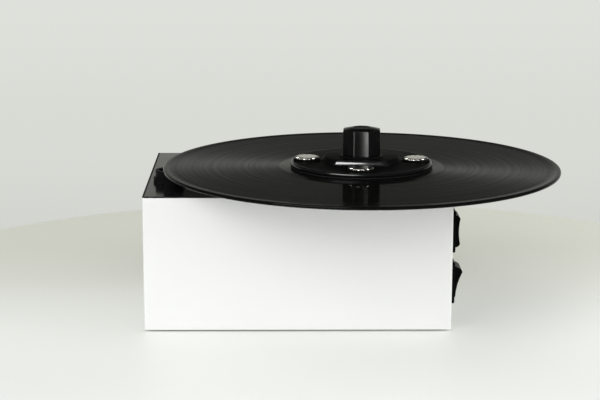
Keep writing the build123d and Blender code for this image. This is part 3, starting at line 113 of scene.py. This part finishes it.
def mesh_piece(name, corners, faces, sharp=radians(32.0)):
    """Mesh object from an array of corners in metres and one of quads, its doubles merged and its
    normals outward; edges sharper than the given angle stay sharp."""
    mesh = bpy.data.meshes.new(name)
    mesh.from_pydata(corners.reshape(-1, 3).tolist(), [], faces.tolist())
    shell = bmesh.new()
    shell.from_mesh(mesh)
    bmesh.ops.remove_doubles(shell, verts=shell.verts, dist=weld_distance)
    bmesh.ops.recalc_face_normals(shell, faces=shell.faces)
    shell.to_mesh(mesh)
    shell.free()
    mesh.shade_smooth()
    mesh.set_sharp_from_angle(angle=sharp)
    piece = bpy.data.objects.new(name, mesh)
    studio.collection.objects.link(piece)
    return piece


def ring_faces(rows, columns, closed_rows=False):
    """Quads of a grid of rows x columns corners whose columns close on themselves; the last row
    joins the first too when closed_rows is set."""
    last = rows if closed_rows else rows - 1
    i, j = np.meshgrid(np.arange(last), np.arange(columns), indexing="ij")
    below, beside = (i + 1) % rows, (j + 1) % columns
    quads = [i * columns + j, i * columns + beside, below * columns + beside, below * columns + j]
    return np.stack(quads, -1).reshape(-1, 4)


def spun(rows, columns, centre):
    """Surface round an upright axis: x = cx + r cos a, y = cy + r sin a, z = h, for each angle a.
    Each row is a pair (r, h) in millimetres, each of them a number or one value per angle."""
    angle = np.linspace(0.0, 2 * pi, columns, endpoint=False)
    radius = np.array([np.broadcast_to(row[0], columns) for row in rows])
    height = np.array([np.broadcast_to(row[1], columns) for row in rows])
    x = centre[0] + radius * np.cos(angle)
    y = centre[1] + radius * np.sin(angle)
    return np.stack([x, y, height], -1) / 1000.0


def along_axis(tree, axis, start, end):
    """Share from 0 to 1 of the way from start to end along an axis of the object, in metres."""
    place = tree.nodes.new("ShaderNodeTexCoord")
    axes = tree.nodes.new("ShaderNodeSeparateXYZ")
    share = tree.nodes.new("ShaderNodeMapRange")
    share.inputs["From Min"].default_value = start
    share.inputs["From Max"].default_value = end
    tree.links.new(place.outputs["Object"], axes.inputs[0])
    tree.links.new(axes.outputs[axis], share.inputs["Value"])
    return share.outputs["Result"]


def eased_tones(tree, share, stops):
    """Colour that eases from stop to stop as the share grows; a stop is a place and a colour."""
    ramp = tree.nodes.new("ShaderNodeValToRGB")
    ramp.color_ramp.interpolation = "EASE"
    for place, tone in stops[1:-1]:
        ramp.color_ramp.elements.new(place)
    for element, (place, tone) in zip(ramp.color_ramp.elements, stops):
        element.position = place
        element.color = (*tone, 1.0)
    tree.links.new(share, ramp.inputs["Fac"])
    return ramp.outputs["Color"]


table_centre = (24.0, -44.0)
table_level = -0.02
table_radius = 422.0
table_round = 6.0
table_thickness = 22.0
table_columns = 256
table_front, table_back = -0.24, 0.24
# The table's colour carries painted light and shade: lightest a third of the way back, darker towards the
# front edge, and darker and yellower towards the far side, where less light falls.
table_painted_light_tones = (
    (0.0, (0.757, 0.767, 0.745)),
    (0.36, (0.868, 0.878, 0.845)),
    (0.93, (0.693, 0.703, 0.625)),
)
table_flat = table_radius - table_round
table_profile = [(0.0, table_level), (table_flat, table_level)]
table_profile += [
    (table_flat + table_round * np.sin(a), table_level - table_round + table_round * np.cos(a))
    for a in np.linspace(0.0, pi / 2, 7)
]
table_profile += [(table_radius, -table_thickness), (0.0, -table_thickness)]
table_top = mesh_piece(
    "table_top",
    spun(table_profile, table_columns, table_centre),
    ring_faces(len(table_profile), table_columns),
)
table_white = bpy.data.materials.new("table_white")
table_white.use_nodes = True
table_tree = table_white.node_tree
table_shader = table_tree.nodes["Principled BSDF"]
table_shader.inputs["Roughness"].default_value = 0.5
# Painted light and shade: the table's colour eases from front to back with the light that falls on it.
table_depth = along_axis(table_tree, "Y", table_front, table_back)
table_painted_light_colour = eased_tones(table_tree, table_depth, table_painted_light_tones)
table_tree.links.new(table_painted_light_colour, table_shader.inputs["Base Color"])
table_top.data.materials.append(table_white)

# Paper backdrop drawn as a glowing panel, which is painted light: palest just above the table's level and
# falling off towards its dim upper end, a painted shade that darkens the studio above in reflections.
backdrop_distance = 1.6
backdrop_half = 3.0
backdrop_foot, backdrop_head = -1.2, 2.0
fall_off_foot, fall_off_head = -0.4, 1.2
backdrop_glow_tones = (
    (0.0, (0.63, 0.64, 0.605)),
    (0.17, (0.695, 0.705, 0.665)),
    (0.30, (0.735, 0.745, 0.705)),
    (0.42, (0.57, 0.58, 0.54)),
    (0.50, (0.41, 0.415, 0.38)),
    (0.57, (0.28, 0.28, 0.255)),
    (0.68, (0.08, 0.08, 0.075)),
    (1.0, (0.03, 0.03, 0.03)),
)
backdrop_corners = np.array(
    [
        (-backdrop_half, backdrop_distance, backdrop_foot),
        (backdrop_half, backdrop_distance, backdrop_foot),
        (backdrop_half, backdrop_distance, backdrop_head),
        (-backdrop_half, backdrop_distance, backdrop_head),
    ]
)
backdrop = mesh_piece("backdrop", backdrop_corners, np.array([[0, 1, 2, 3]]))
paper = bpy.data.materials.new("backdrop_glow")
paper.use_nodes = True
paper_tree = paper.node_tree
paper_shader = paper_tree.nodes["Principled BSDF"]
paper_shader.inputs["Base Color"].default_value = (0.0, 0.0, 0.0, 1.0)
paper_shader.inputs["Roughness"].default_value = 1.0
paper_shader.inputs["Specular IOR Level"].default_value = 0.0
paper_shader.inputs["Emission Strength"].default_value = 1.0
# Painted light: the glow's colour eases with height, from palest low down to dim at the top.
paper_level = along_axis(paper_tree, "Z", fall_off_foot, fall_off_head)
paper_glow = eased_tones(paper_tree, paper_level, backdrop_glow_tones)
paper_tree.links.new(paper_glow, paper_shader.inputs["Emission Color"])
backdrop.data.materials.append(paper)


# ---------------------------------------------------------------- casing
# Folded aluminium wrap, blasted and anodised silver, with a lacquered black plate let in on top.
# The base and the black rear panel close it; four rubber feet carry it.
def effect(name, inputs, outputs):
    """Empty shader group; each input is a name and a default, a colour where that is a tuple, and
    each output a name and a kind of socket."""
    tree = bpy.data.node_groups.new(name, "ShaderNodeTree")
    for label, value in inputs.items():
        kind = "NodeSocketColor" if isinstance(value, tuple) else "NodeSocketFloat"
        tree.interface.new_socket(label, in_out="INPUT", socket_type=kind).default_value = value
    for label, kind in outputs.items():
        tree.interface.new_socket(label, in_out="OUTPUT", socket_type=kind)
    return tree, tree.nodes.new("NodeGroupInput"), tree.nodes.new("NodeGroupOutput")


def math_node(tree, operation, first, second):
    """Math node of that operation; each operand is a socket or a number."""
    node = tree.nodes.new("ShaderNodeMath")
    node.operation = operation
    for place, value in enumerate((first, second)):
        if isinstance(value, bpy.types.NodeSocket):
            tree.links.new(value, node.inputs[place])
        else:
            node.inputs[place].default_value = value
    return node.outputs[0]


def noise_node(tree, scale, detail=3.0):
    """Noise of that many cells a metre over the object's own coordinates."""
    place = tree.nodes.new("ShaderNodeTexCoord")
    noise = tree.nodes.new("ShaderNodeTexNoise")
    noise.inputs["Detail"].default_value = detail
    tree.links.new(place.outputs["Object"], noise.inputs["Vector"])
    if isinstance(scale, bpy.types.NodeSocket):
        tree.links.new(scale, noise.inputs["Scale"])
    else:
        noise.inputs["Scale"].default_value = scale
    return noise.outputs["Fac"]


grain, grain_in, grain_out = effect(
    "surface_grain",
    {"Color": (0.5, 0.5, 0.5, 1.0), "Mottle": 0.06, "Grain Size": 1800.0, "Smear": 0.06, "Roughness": 0.4},
    {"Color": "NodeSocketColor", "Roughness": "NodeSocketFloat", "Height": "NodeSocketFloat"},
)
cloud_scale = 24.0
grain_value = noise_node(grain, grain_in.outputs["Grain Size"])
cloud_value = noise_node(grain, cloud_scale, 2.0)
grain_offset = math_node(grain, "SUBTRACT", grain_value, 0.5)
grain_swing = math_node(grain, "MULTIPLY", grain_offset, grain_in.outputs["Mottle"])
grain_gain = math_node(grain, "ADD", math_node(grain, "MULTIPLY", grain_swing, 2.0), 1.0)
grain_scaled = grain.nodes.new("ShaderNodeVectorMath")
grain_scaled.operation = "SCALE"
grain.links.new(grain_in.outputs["Color"], grain_scaled.inputs[0])
grain.links.new(grain_gain, grain_scaled.inputs["Scale"])
grain.links.new(grain_scaled.outputs[0], grain_out.inputs["Color"])
cloud_offset = math_node(grain, "SUBTRACT", cloud_value, 0.5)
cloud_swing = math_node(grain, "MULTIPLY", cloud_offset, grain_in.outputs["Smear"])
smeared_rough = math_node(grain, "ADD", cloud_swing, grain_in.outputs["Roughness"])
grain.links.new(smeared_rough, grain_out.inputs["Roughness"])
grain.links.new(grain_value, grain_out.inputs["Height"])


def finish(name, color, roughness, metallic=0.0, mottle=0.06, size=1800.0, smear=0.06, depth=0.02, **fixed):
    """Material whose colour, roughness and relief vary with the surface grain; depth is the
    relief in millimetres and each further value is set on the shader's own socket."""
    material = bpy.data.materials.new(name)
    material.use_nodes = True
    tree = material.node_tree
    shader = tree.nodes["Principled BSDF"]
    shader.inputs["Metallic"].default_value = metallic
    for label, value in fixed.items():
        shader.inputs[label.replace("_", " ").title().replace("Ior", "IOR")].default_value = value
    group = tree.nodes.new("ShaderNodeGroup")
    group.node_tree = grain
    group.name = "grain"
    group.inputs["Color"].default_value = (*color, 1.0)
    group.inputs["Mottle"].default_value = mottle
    group.inputs["Grain Size"].default_value = size
    group.inputs["Smear"].default_value = smear
    group.inputs["Roughness"].default_value = roughness
    bump = tree.nodes.new("ShaderNodeBump")
    bump.name = "relief"
    bump.inputs["Distance"].default_value = depth / 1000.0
    tree.links.new(group.outputs["Color"], shader.inputs["Base Color"])
    tree.links.new(group.outputs["Roughness"], shader.inputs["Roughness"])
    tree.links.new(group.outputs["Height"], bump.inputs["Height"])
    tree.links.new(bump.outputs["Normal"], shader.inputs["Normal"])
    return material


def dress(material, *names):
    """Gives CAD nodes that material in every one of their slots."""
    for name in names:
        slots = nodes[name].data.materials
        for place in range(len(slots)):
            slots[place] = material
        if not len(slots):
            slots.append(material)


silver = finish("blasted_silver", (0.80, 0.802, 0.798), 0.5, 0.25, mottle=0.05, size=2600.0, depth=0.004)
black_lacquer = finish(
    "black_lacquer", (0.010, 0.010, 0.011), 0.15, mottle=0.1, size=300.0, smear=0.03, depth=0.0006
)
powder_black = finish("powder_black", (0.022, 0.022, 0.023), 0.5, mottle=0.2, size=1500.0, depth=0.03)
zinc = finish("zinc_plate", (0.60, 0.61, 0.62), 0.36, 1.0, mottle=0.12, size=220.0, depth=0.004)
milled = finish("milled_aluminium", (0.72, 0.73, 0.74), 0.34, 1.0, mottle=0.06, size=900.0, depth=0.008)
foot_rubber = finish("foot_rubber", (0.018, 0.018, 0.018), 0.75, mottle=0.25, size=1400.0, depth=0.03)

# The lacquer ends in a dull line along the plate's left edge.
plate_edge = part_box("top_plate")[0][0]
dull_until, gloss_from = 0.0012, 0.0016
lacquer_tree = black_lacquer.node_tree
dull_edge = along_axis(lacquer_tree, "X", plate_edge + gloss_from, plate_edge + dull_until)
lacquer_rough = math_node(
    lacquer_tree, "MAXIMUM", lacquer_tree.nodes["grain"].outputs["Roughness"], dull_edge
)
lacquer_tree.links.new(lacquer_rough, lacquer_tree.nodes["Principled BSDF"].inputs["Roughness"])
dress(silver, "wrap_cover")
dress(black_lacquer, "top_plate")
dress(powder_black, "rear_panel")
dress(zinc, "base_plate", "pan_screws", "sunk_screws")
dress(milled, "corner_posts")
dress(foot_rubber, "rubber_feet")

# ---------------------------------------------------------------- bearing and drive
# Turned aluminium housing with two sintered bushes, hung under the plate; a geared motor on
# steel pillars turns the spindle through a sleeve coupling.
bronze = finish("sintered_bronze", (0.42, 0.27, 0.13), 0.42, 1.0, mottle=0.25, size=2400.0, depth=0.01)
drawn_steel = finish("drawn_steel", (0.50, 0.51, 0.52), 0.38, 1.0, mottle=0.1, size=700.0, depth=0.004)
white_nylon = finish("white_nylon", (0.74, 0.73, 0.68), 0.45, mottle=0.05, size=600.0, depth=0.01)
dress(milled, "bearing_housing", "shaft_coupling")
dress(bronze, "spindle_bushes")
dress(white_nylon, "thrust_washer")
dress(zinc, "spindle_shaft", "drive_standoffs", "motor_plate", "gearbox_shaft")
dress(drawn_steel, "gearbox", "gearmotor_can")

# ---------------------------------------------------------------- platter
# Small machined aluminium platter with a grooved rubber mat let in on top, screwed to the
# spindle's flange from above.
mat_rubber = finish("mat_rubber", (0.02, 0.02, 0.021), 0.8, mottle=0.3, size=1700.0, depth=0.04)
dress(milled, "platter")
dress(mat_rubber, "platter_mat")
dress(zinc, "platter_screws")

# ---------------------------------------------------------------- record
# Pressed vinyl: flat label area, plain run-out, bands of fine grooves parted by narrow smooth
# rings, and a raised bead round the edge.
spindle = (48.9, -30.0)
top = 114.1
thickness = 2.0
under = top - thickness
hole = 3.62
label_inner = 50.05
label_step = 0.15
runout = 62.0
runout_slope = 1.0
groove_outer = 146.0
groove_rows = 24
bead_ring = 147.2
bead = 0.2
relief = 0.1
edge = 150.79
edge_round = 0.9
record_columns = 512
edge_ring = edge - edge_round
mid_height = (top + under) / 2
rim_half = thickness / 2 + bead
grooved_rings = np.linspace(runout + runout_slope, groove_outer, groove_rows)
record_profile = [(hole, top - label_step), (label_inner, top - label_step)]
record_profile += [(label_inner, top), (runout, top)]
record_profile += [(r, top - relief) for r in grooved_rings]
record_profile += [(bead_ring, top + bead)]
record_profile += [
    (edge_ring + edge_round * np.cos(a), mid_height + rim_half * np.sin(a))
    for a in np.linspace(pi / 2, -pi / 2, 13)
]
record_profile += [(bead_ring, under - bead)]
record_profile += [(r, under + relief) for r in grooved_rings[::-1]]
record_profile += [(runout, under), (label_inner, under)]
record_profile += [(label_inner, under + label_step), (hole, under + label_step)]
record = mesh_piece(
    "record_vinyl",
    spun(record_profile, record_columns, spindle),
    ring_faces(len(record_profile), record_columns, closed_rows=True),
)

# The grooves spread gloss outwards from the spindle, so light gathers in two opposite wedges, and
# the skew turns both of them a little.
groove_skew = radians(7.0)
groove_relief = 0.00005
runout_rough = 0.24
groove_rough = 0.03
ring_swing = 0.26
vinyl_dark = (0.0022, 0.0022, 0.0022, 1.0)
vinyl_light = (0.0040, 0.0040, 0.0038, 1.0)
vinyl = bpy.data.materials.new("grooved_vinyl")
vinyl.use_nodes = True
vinyl_tree = vinyl.node_tree
vinyl_shader = vinyl_tree.nodes["Principled BSDF"]
vinyl_shader.inputs["Anisotropic"].default_value = 1.0
vinyl_shader.inputs["Anisotropic Rotation"].default_value = groove_skew / (2 * pi)
vinyl_shader.inputs["Specular IOR Level"].default_value = 0.038
vinyl_shader.inputs["Specular Tint"].default_value = (0.94, 0.95, 0.82, 1.0)
vinyl_shader.inputs["Coat Weight"].default_value = 0.13
vinyl_shader.inputs["Coat Roughness"].default_value = 0.05
vinyl_shader.inputs["IOR"].default_value = 1.52
vinyl_place = vinyl_tree.nodes.new("ShaderNodeTexCoord")
from_spindle = vinyl_tree.nodes.new("ShaderNodeVectorMath")
from_spindle.operation = "SUBTRACT"
from_spindle.inputs[1].default_value = (spindle[0] / 1000.0, spindle[1] / 1000.0, top / 1000.0)
vinyl_tree.links.new(vinyl_place.outputs["Object"], from_spindle.inputs[0])
in_plane = vinyl_tree.nodes.new("ShaderNodeVectorMath")
in_plane.operation = "MULTIPLY"
in_plane.inputs[1].default_value = (1.0, 1.0, 0.0)
vinyl_tree.links.new(from_spindle.outputs[0], in_plane.inputs[0])
across_groove = vinyl_tree.nodes.new("ShaderNodeVectorMath")
across_groove.operation = "NORMALIZE"
vinyl_tree.links.new(in_plane.outputs[0], across_groove.inputs[0])
vinyl_tree.links.new(across_groove.outputs[0], vinyl_shader.inputs["Tangent"])
span = vinyl_tree.nodes.new("ShaderNodeVectorMath")
span.operation = "LENGTH"
vinyl_tree.links.new(in_plane.outputs[0], span.inputs[0])
groove_radius = span.outputs["Value"]


def ring_noise(scale, detail):
    """Noise that depends on the distance from the spindle alone, so it draws rings."""
    noise = vinyl_tree.nodes.new("ShaderNodeTexNoise")
    noise.noise_dimensions = "1D"
    noise.inputs["Scale"].default_value = scale
    noise.inputs["Detail"].default_value = detail
    vinyl_tree.links.new(groove_radius, noise.inputs["W"])
    return noise.outputs["Fac"]


fine_rings = ring_noise(900.0, 4.0)
broad_rings = ring_noise(300.0, 5.0)


def ring_share(start, end):
    """Share from 0 to 1 of the way between two distances from the spindle, in millimetres."""
    share = vinyl_tree.nodes.new("ShaderNodeMapRange")
    share.inputs["From Min"].default_value = start / 1000.0
    share.inputs["From Max"].default_value = end / 1000.0
    vinyl_tree.links.new(groove_radius, share.inputs["Value"])
    return share.outputs["Result"]


past_runout = ring_share(runout - 0.4, runout + 1.2)
before_bead = ring_share(groove_outer + 0.4, groove_outer - 0.6)
grooved = math_node(vinyl_tree, "MULTIPLY", past_runout, before_bead)
ring_rough = math_node(vinyl_tree, "MULTIPLY", broad_rings, ring_swing)
ring_rough = math_node(vinyl_tree, "ADD", ring_rough, groove_rough)
ring_rough = math_node(vinyl_tree, "MULTIPLY", ring_rough, grooved)
ring_rough = math_node(vinyl_tree, "ADD", ring_rough, runout_rough)
vinyl_tree.links.new(ring_rough, vinyl_shader.inputs["Roughness"])
groove_bump = vinyl_tree.nodes.new("ShaderNodeBump")
groove_bump.inputs["Distance"].default_value = groove_relief
groove_height = math_node(vinyl_tree, "MULTIPLY", fine_rings, grooved)
vinyl_tree.links.new(groove_height, groove_bump.inputs["Height"])
vinyl_tree.links.new(groove_bump.outputs["Normal"], vinyl_shader.inputs["Normal"])
vinyl_ramp = vinyl_tree.nodes.new("ShaderNodeMix")
vinyl_ramp.data_type = "RGBA"
vinyl_ramp.inputs["A"].default_value = vinyl_dark
vinyl_ramp.inputs["B"].default_value = vinyl_light
vinyl_tree.links.new(broad_rings, vinyl_ramp.inputs["Factor"])
vinyl_tree.links.new(vinyl_ramp.outputs["Result"], vinyl_shader.inputs["Base Color"])
record.data.materials.append(vinyl)
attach(record, "record")
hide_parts("record_disc")

label_paper = finish("label_paper", (0.56, 0.52, 0.44), 0.7, mottle=0.12, size=900.0, depth=0.02)
dress(label_paper, "record_label")

# ---------------------------------------------------------------- clamp
# Moulded black clamp: a rubber sealing ring, a lower plate, the body with its hub, four bright
# screws on black collars, and the eight-sided knob on a washer.
clamp_turn = radians(-3.0)
disc_under = top + 1.6
groove_top = disc_under + 0.3
disc_top = groove_top + 2.3
hub_top = disc_top + 3.6
well_top = disc_top + 1.6
disc_radius, undercut_radius = 53.99, 52.9
rim_round, rim_rows = 1.9, 11
lower_ease = 0.15
hub_base, hub_base_half = 31.0, 22.9
hub_crown, hub_crown_half = 27.8, 21.1
flat_skew, flat_bow, flat_reach = radians(2.8), 0.5, 20.0
gloss_reach = 20.8
clamp_bore, clamp_well = 7.07, 14.0
clamp_columns = 720
clamp_angle = np.linspace(0.0, 2 * pi, clamp_columns, endpoint=False) - clamp_turn


def soft_minimum(first, second, power):
    """The smaller of two lengths with the corner between them eased: (a^-p + b^-p)^(-1/p)."""
    scale = 20.0
    return ((first / scale) ** -power + (second / scale) ** -power) ** (-1 / power) * scale


def flatted(radius, half_width):
    """Distance to the hub's side at each angle: a circle cut by two parallel flats half a width
    from the axis, each bowed outwards towards its middle by b (1 - (r cos a / reach)^2)."""
    turn = clamp_angle + flat_skew
    bow = flat_bow * (1 - (radius * np.cos(turn) / flat_reach) ** 2)
    flat = (half_width + bow) / np.maximum(np.abs(np.sin(turn)), 1e-3)
    return soft_minimum(radius, flat, 90.0)


# The hub widens from its crown to its base, with its upper edge and its foot eased.
hub_share = np.array([0.0, 0.02, 0.08, 0.5, 0.93, 0.98, 1.0])
hub_ease = np.array([0.35, 0.10, 0.0, 0.0, 0.0, -0.05, -0.25])
hub_level = np.array([0.0, 0.02, 0.08, 0.5, 0.93, 0.985, 1.0])
clamp_rows = [(clamp_bore, well_top), (clamp_bore, hub_top)]
hub_first = len(clamp_rows)
for share, ease, level in zip(hub_share, hub_ease, hub_level):
    round_part = hub_crown + (hub_base - hub_crown) * share - ease
    flat_part = hub_crown_half + (hub_base_half - hub_crown_half) * share - ease
    clamp_rows.append((flatted(round_part, flat_part), hub_top - (hub_top - disc_top) * level))
rim_first = len(clamp_rows)
clamp_rows += [
    (disc_radius - rim_round * (1 - np.cos(turn)), disc_top - rim_round * (1 - np.sin(turn)))
    for turn in np.linspace(pi / 2, 0.0, rim_rows)
]
clamp_rows += [
    (disc_radius, groove_top + lower_ease),
    (disc_radius - lower_ease, groove_top),
    (undercut_radius, groove_top),
    (undercut_radius, disc_under),
    (clamp_well, disc_under),
    (clamp_well, well_top),
]
clamp_body = mesh_piece(
    "clamp_body",
    spun(clamp_rows, clamp_columns, spindle),
    ring_faces(len(clamp_rows), clamp_columns, closed_rows=True),
    sharp=radians(40.0),
)
row_number = np.arange(len(clamp_rows))[:, None]
on_flat = (row_number >= hub_first) & (row_number < rim_first - 1)
on_flat = on_flat & (np.abs(hub_base * np.cos(clamp_angle)) < gloss_reach)
on_rim = (row_number >= rim_first) & (row_number < rim_first + rim_rows)
clamp_gloss = on_flat + 2 * on_rim

# Four bright heads, each with twelve flutes cut through its rounded upper edge.
head_radius, head_round, head_dish = 9.24, 1.1, 5.0
head_top = hub_top - 0.9
head_under = disc_top + 1.0
head_ease = 0.1
flute_count, flute_depth = 12, 1.5
shank_radius, screw_circle = 3.0, 41.4
shank_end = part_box("clamp_screws")[0][2] * 1000.0
head_columns = 480
head_angle = np.linspace(0.0, 2 * pi, head_columns, endpoint=False)
fluted = head_radius - flute_depth * (0.5 + 0.5 * np.cos(flute_count * head_angle)) ** 2.5
head_rows = [(0.0, head_top), (head_dish, head_top)]
head_rows += [
    (fluted - head_round * (1 - np.sin(turn)), head_top - head_round * (1 - np.cos(turn)))
    for turn in np.linspace(0.0, pi / 2, 8)
]
head_rows += [
    (fluted, head_under + head_ease),
    (fluted - head_ease, head_under),
    (shank_radius, head_under),
    (shank_radius, shank_end),
    (0.0, shank_end),
]
head_corners, head_faces = [], []
for quarter in range(4):
    bearing = clamp_turn + quarter * pi / 2
    seat = (spindle[0] + screw_circle * np.cos(bearing), spindle[1] + screw_circle * np.sin(bearing))
    head_corners.append(spun(head_rows, head_columns, seat).reshape(-1, 3))
    head_faces.append(ring_faces(len(head_rows), head_columns) + quarter * len(head_rows) * head_columns)
screw_heads = mesh_piece(
    "screw_heads", np.concatenate(head_corners), np.concatenate(head_faces), sharp=radians(50.0)
)

# Eight-sided knob with slightly hollow faces and a shallow cone round its crown.
knob_under = hub_top + 0.8
knob_top = knob_under + 21.1
knob_apothem, knob_draft = 14.1, np.tan(radians(0.8))
knob_foot_ease = 0.8
face_hollow = 0.38
crown_radius, crown_slope = 7.7, 1.4 / 6.4
shoulder_round = 0.5
pocket_radius, pocket_floor = 6.55, knob_top - 1.2
insert_bore, insert_top = 7.0, knob_under + 11.0
knob_columns = 576
knob_angle = np.linspace(0.0, 2 * pi, knob_columns, endpoint=False) - clamp_turn


def octagon(height):
    """Distance to the side at each angle: the soft minimum of the two nearest faces
    a / cos(angle from the face), a growing downwards with the draft and hollowed mid-face."""
    face = (knob_angle + pi / 8) % (pi / 4) - pi / 8
    apothem = knob_apothem + (knob_top - height) * knob_draft
    near = apothem / np.cos(face)
    far = apothem / np.cos(pi / 4 - np.abs(face))
    hollow = face_hollow * np.maximum(0.0, 1 - (np.tan(face) / np.tan(pi / 8)) ** 2)
    return soft_minimum(near, far, 78.0) - hollow


upper_side = octagon(knob_top - 1.4)
cone_width = upper_side - crown_radius
shoulder_level = knob_top - cone_width * crown_slope
cone_share = (0.3, 0.6, 0.85, 0.955)
knob_rows = [(0.0, pocket_floor), (pocket_radius, pocket_floor)]
knob_rows += [(pocket_radius, knob_top), (crown_radius, knob_top)]
knob_rows += [
    (crown_radius + cone_width * share, knob_top - cone_width * share * crown_slope) for share in cone_share
]
side_first = len(knob_rows)
for turn in np.linspace(radians(70.0), 0.0, 6):
    inward = shoulder_round * (1 - np.cos(turn))
    downward = 1.1 * shoulder_round * (1 - np.sin(turn))
    knob_rows.append((upper_side - inward, shoulder_level - downward))
knob_rows += [(octagon(level), level) for level in (139.0, 134.0, 129.0, 125.0, 123.5)]
knob_rows += [
    (octagon(knob_under) - knob_foot_ease, knob_under),
    (insert_bore, knob_under),
    (insert_bore, insert_top),
    (0.0, insert_top),
]
knob_body = mesh_piece(
    "knob_body",
    spun(knob_rows, knob_columns, spindle),
    ring_faces(len(knob_rows), knob_columns),
    sharp=radians(40.0),
)
knob_face_rows = np.arange(len(knob_rows) - 1)[:, None]
on_crown = np.broadcast_to(knob_face_rows < side_first - 1, (len(knob_rows) - 1, knob_columns))

gloss_black = finish(
    "gloss_black", (0.004, 0.004, 0.004), 0.12, mottle=0.1, size=900.0, depth=0.0006,
    specular_ior_level=0.5, ior=2.2,
)
rim_black = finish(
    "rim_black", (0.004, 0.004, 0.004), 0.22, mottle=0.1, size=900.0, depth=0.001,
    specular_ior_level=0.5, ior=1.7,
)
matt_black = finish(
    "matt_black", (0.003, 0.003, 0.003), 0.5, mottle=0.1, size=1600.0, depth=0.004,
    specular_ior_level=0.02,
)
crown_black = finish(
    "crown_black", (0.0015, 0.0015, 0.0015), 0.2, mottle=0.1, size=900.0, depth=0.0006,
    specular_ior_level=0.08,
)
knob_black = finish(
    "knob_black", (0.0004, 0.0004, 0.0005), 0.38, mottle=0.1, size=900.0, depth=0.0006,
    anisotropic=1.0, specular_ior_level=0.9, ior=2.0,
)
satin_black = finish(
    "satin_black", (0.006, 0.006, 0.0065), 0.38, mottle=0.15, size=1500.0, depth=0.008,
    specular_ior_level=0.03,
)
seal_rubber = finish("seal_rubber", (0.012, 0.012, 0.013), 0.6, mottle=0.2, size=1500.0, depth=0.02)
bright_chrome = finish(
    "bright_chrome", (0.94, 0.92, 0.86), 0.12, 1.0, mottle=0.03, size=700.0, smear=0.05, depth=0.0008
)
brass = finish("turned_brass", (0.62, 0.44, 0.17), 0.28, 1.0, mottle=0.08, size=900.0, depth=0.004)

# The knob's polishing marks run upright, so its gloss is drawn out upwards.
knob_tree = knob_black.node_tree
upright = knob_tree.nodes.new("ShaderNodeCombineXYZ")
upright.inputs["Z"].default_value = 1.0
knob_tree.links.new(upright.outputs[0], knob_tree.nodes["Principled BSDF"].inputs["Tangent"])
clamp_body.data.materials.append(matt_black)
clamp_body.data.materials.append(gloss_black)
clamp_body.data.materials.append(rim_black)
clamp_body.data.polygons.foreach_set("material_index", clamp_gloss.astype(np.int32).ravel())
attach(clamp_body, "clamp")
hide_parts("clamp_disc")
knob_body.data.materials.append(knob_black)
knob_body.data.materials.append(crown_black)
knob_body.data.polygons.foreach_set("material_index", on_crown.astype(np.int32).ravel())
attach(knob_body, "knob")
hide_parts("clamp_knob")
dress(seal_rubber, "clamp_seal")
dress(matt_black, "clamp_base", "clamp_collars")
screw_heads.data.materials.append(bright_chrome)
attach(screw_heads, "clamp")
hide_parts("clamp_screws")
dress(satin_black, "knob_washer", "knob_cap")
dress(brass, "knob_insert")
dress(zinc, "insert_clip")

# ---------------------------------------------------------------- suction path
# The arm's black socket leads by a hose to the moulded tank; a tube and a capped spigot drain
# it, and a blower in its own tube draws the air.
hose_rubber = finish("hose_rubber", (0.02, 0.02, 0.02), 0.55, mottle=0.2, size=900.0, depth=0.02)
natural_plastic = finish("natural_plastic", (0.66, 0.68, 0.66), 0.4, mottle=0.05, size=300.0, depth=0.02)
moulded_black = finish("moulded_black", (0.02, 0.02, 0.021), 0.42, mottle=0.15, size=1300.0, depth=0.015)
dress(satin_black, "arm_socket", "arm_socket_nut", "drain_spigot")
dress(hose_rubber, "suction_hose", "drain_tube", "air_sleeve", "tank_gasket", "drain_cap", "blower_saddles")
dress(natural_plastic, "waste_tank", "tank_lid")
dress(moulded_black, "blower_cover", "blower_housing")
dress(milled, "blower_impeller")
dress(zinc, "blower_shaft")
dress(drawn_steel, "blower_motor")

# ---------------------------------------------------------------- switches and electrics
# Two black rockers in bezels on the right wall, a moulded inlet on the rear panel, and the
# board and transformer inside.
rocker_gloss = finish(
    "rocker_gloss", (0.0015, 0.0015, 0.0016), 0.30, mottle=0.1, size=900.0, depth=0.002,
    specular_ior_level=0.03,
)
solder_mask = finish("solder_mask", (0.02, 0.15, 0.05), 0.3, mottle=0.15, size=800.0, depth=0.01)
laminations = finish("laminations", (0.30, 0.30, 0.31), 0.5, 1.0, mottle=0.2, size=500.0, depth=0.01)
enamelled_wire = finish("enamelled_wire", (0.50, 0.21, 0.07), 0.3, 1.0, mottle=0.2, size=700.0, depth=0.05)
dress(moulded_black, "mains_inlet", "board_parts")
dress(rocker_gloss, "switch_frames", "motor_rocker", "vacuum_rocker")
dress(brass, "switch_terminals", "inlet_pins")
dress(solder_mask, "control_board")
dress(laminations, "transformer_core")
dress(enamelled_wire, "transformer_coil")
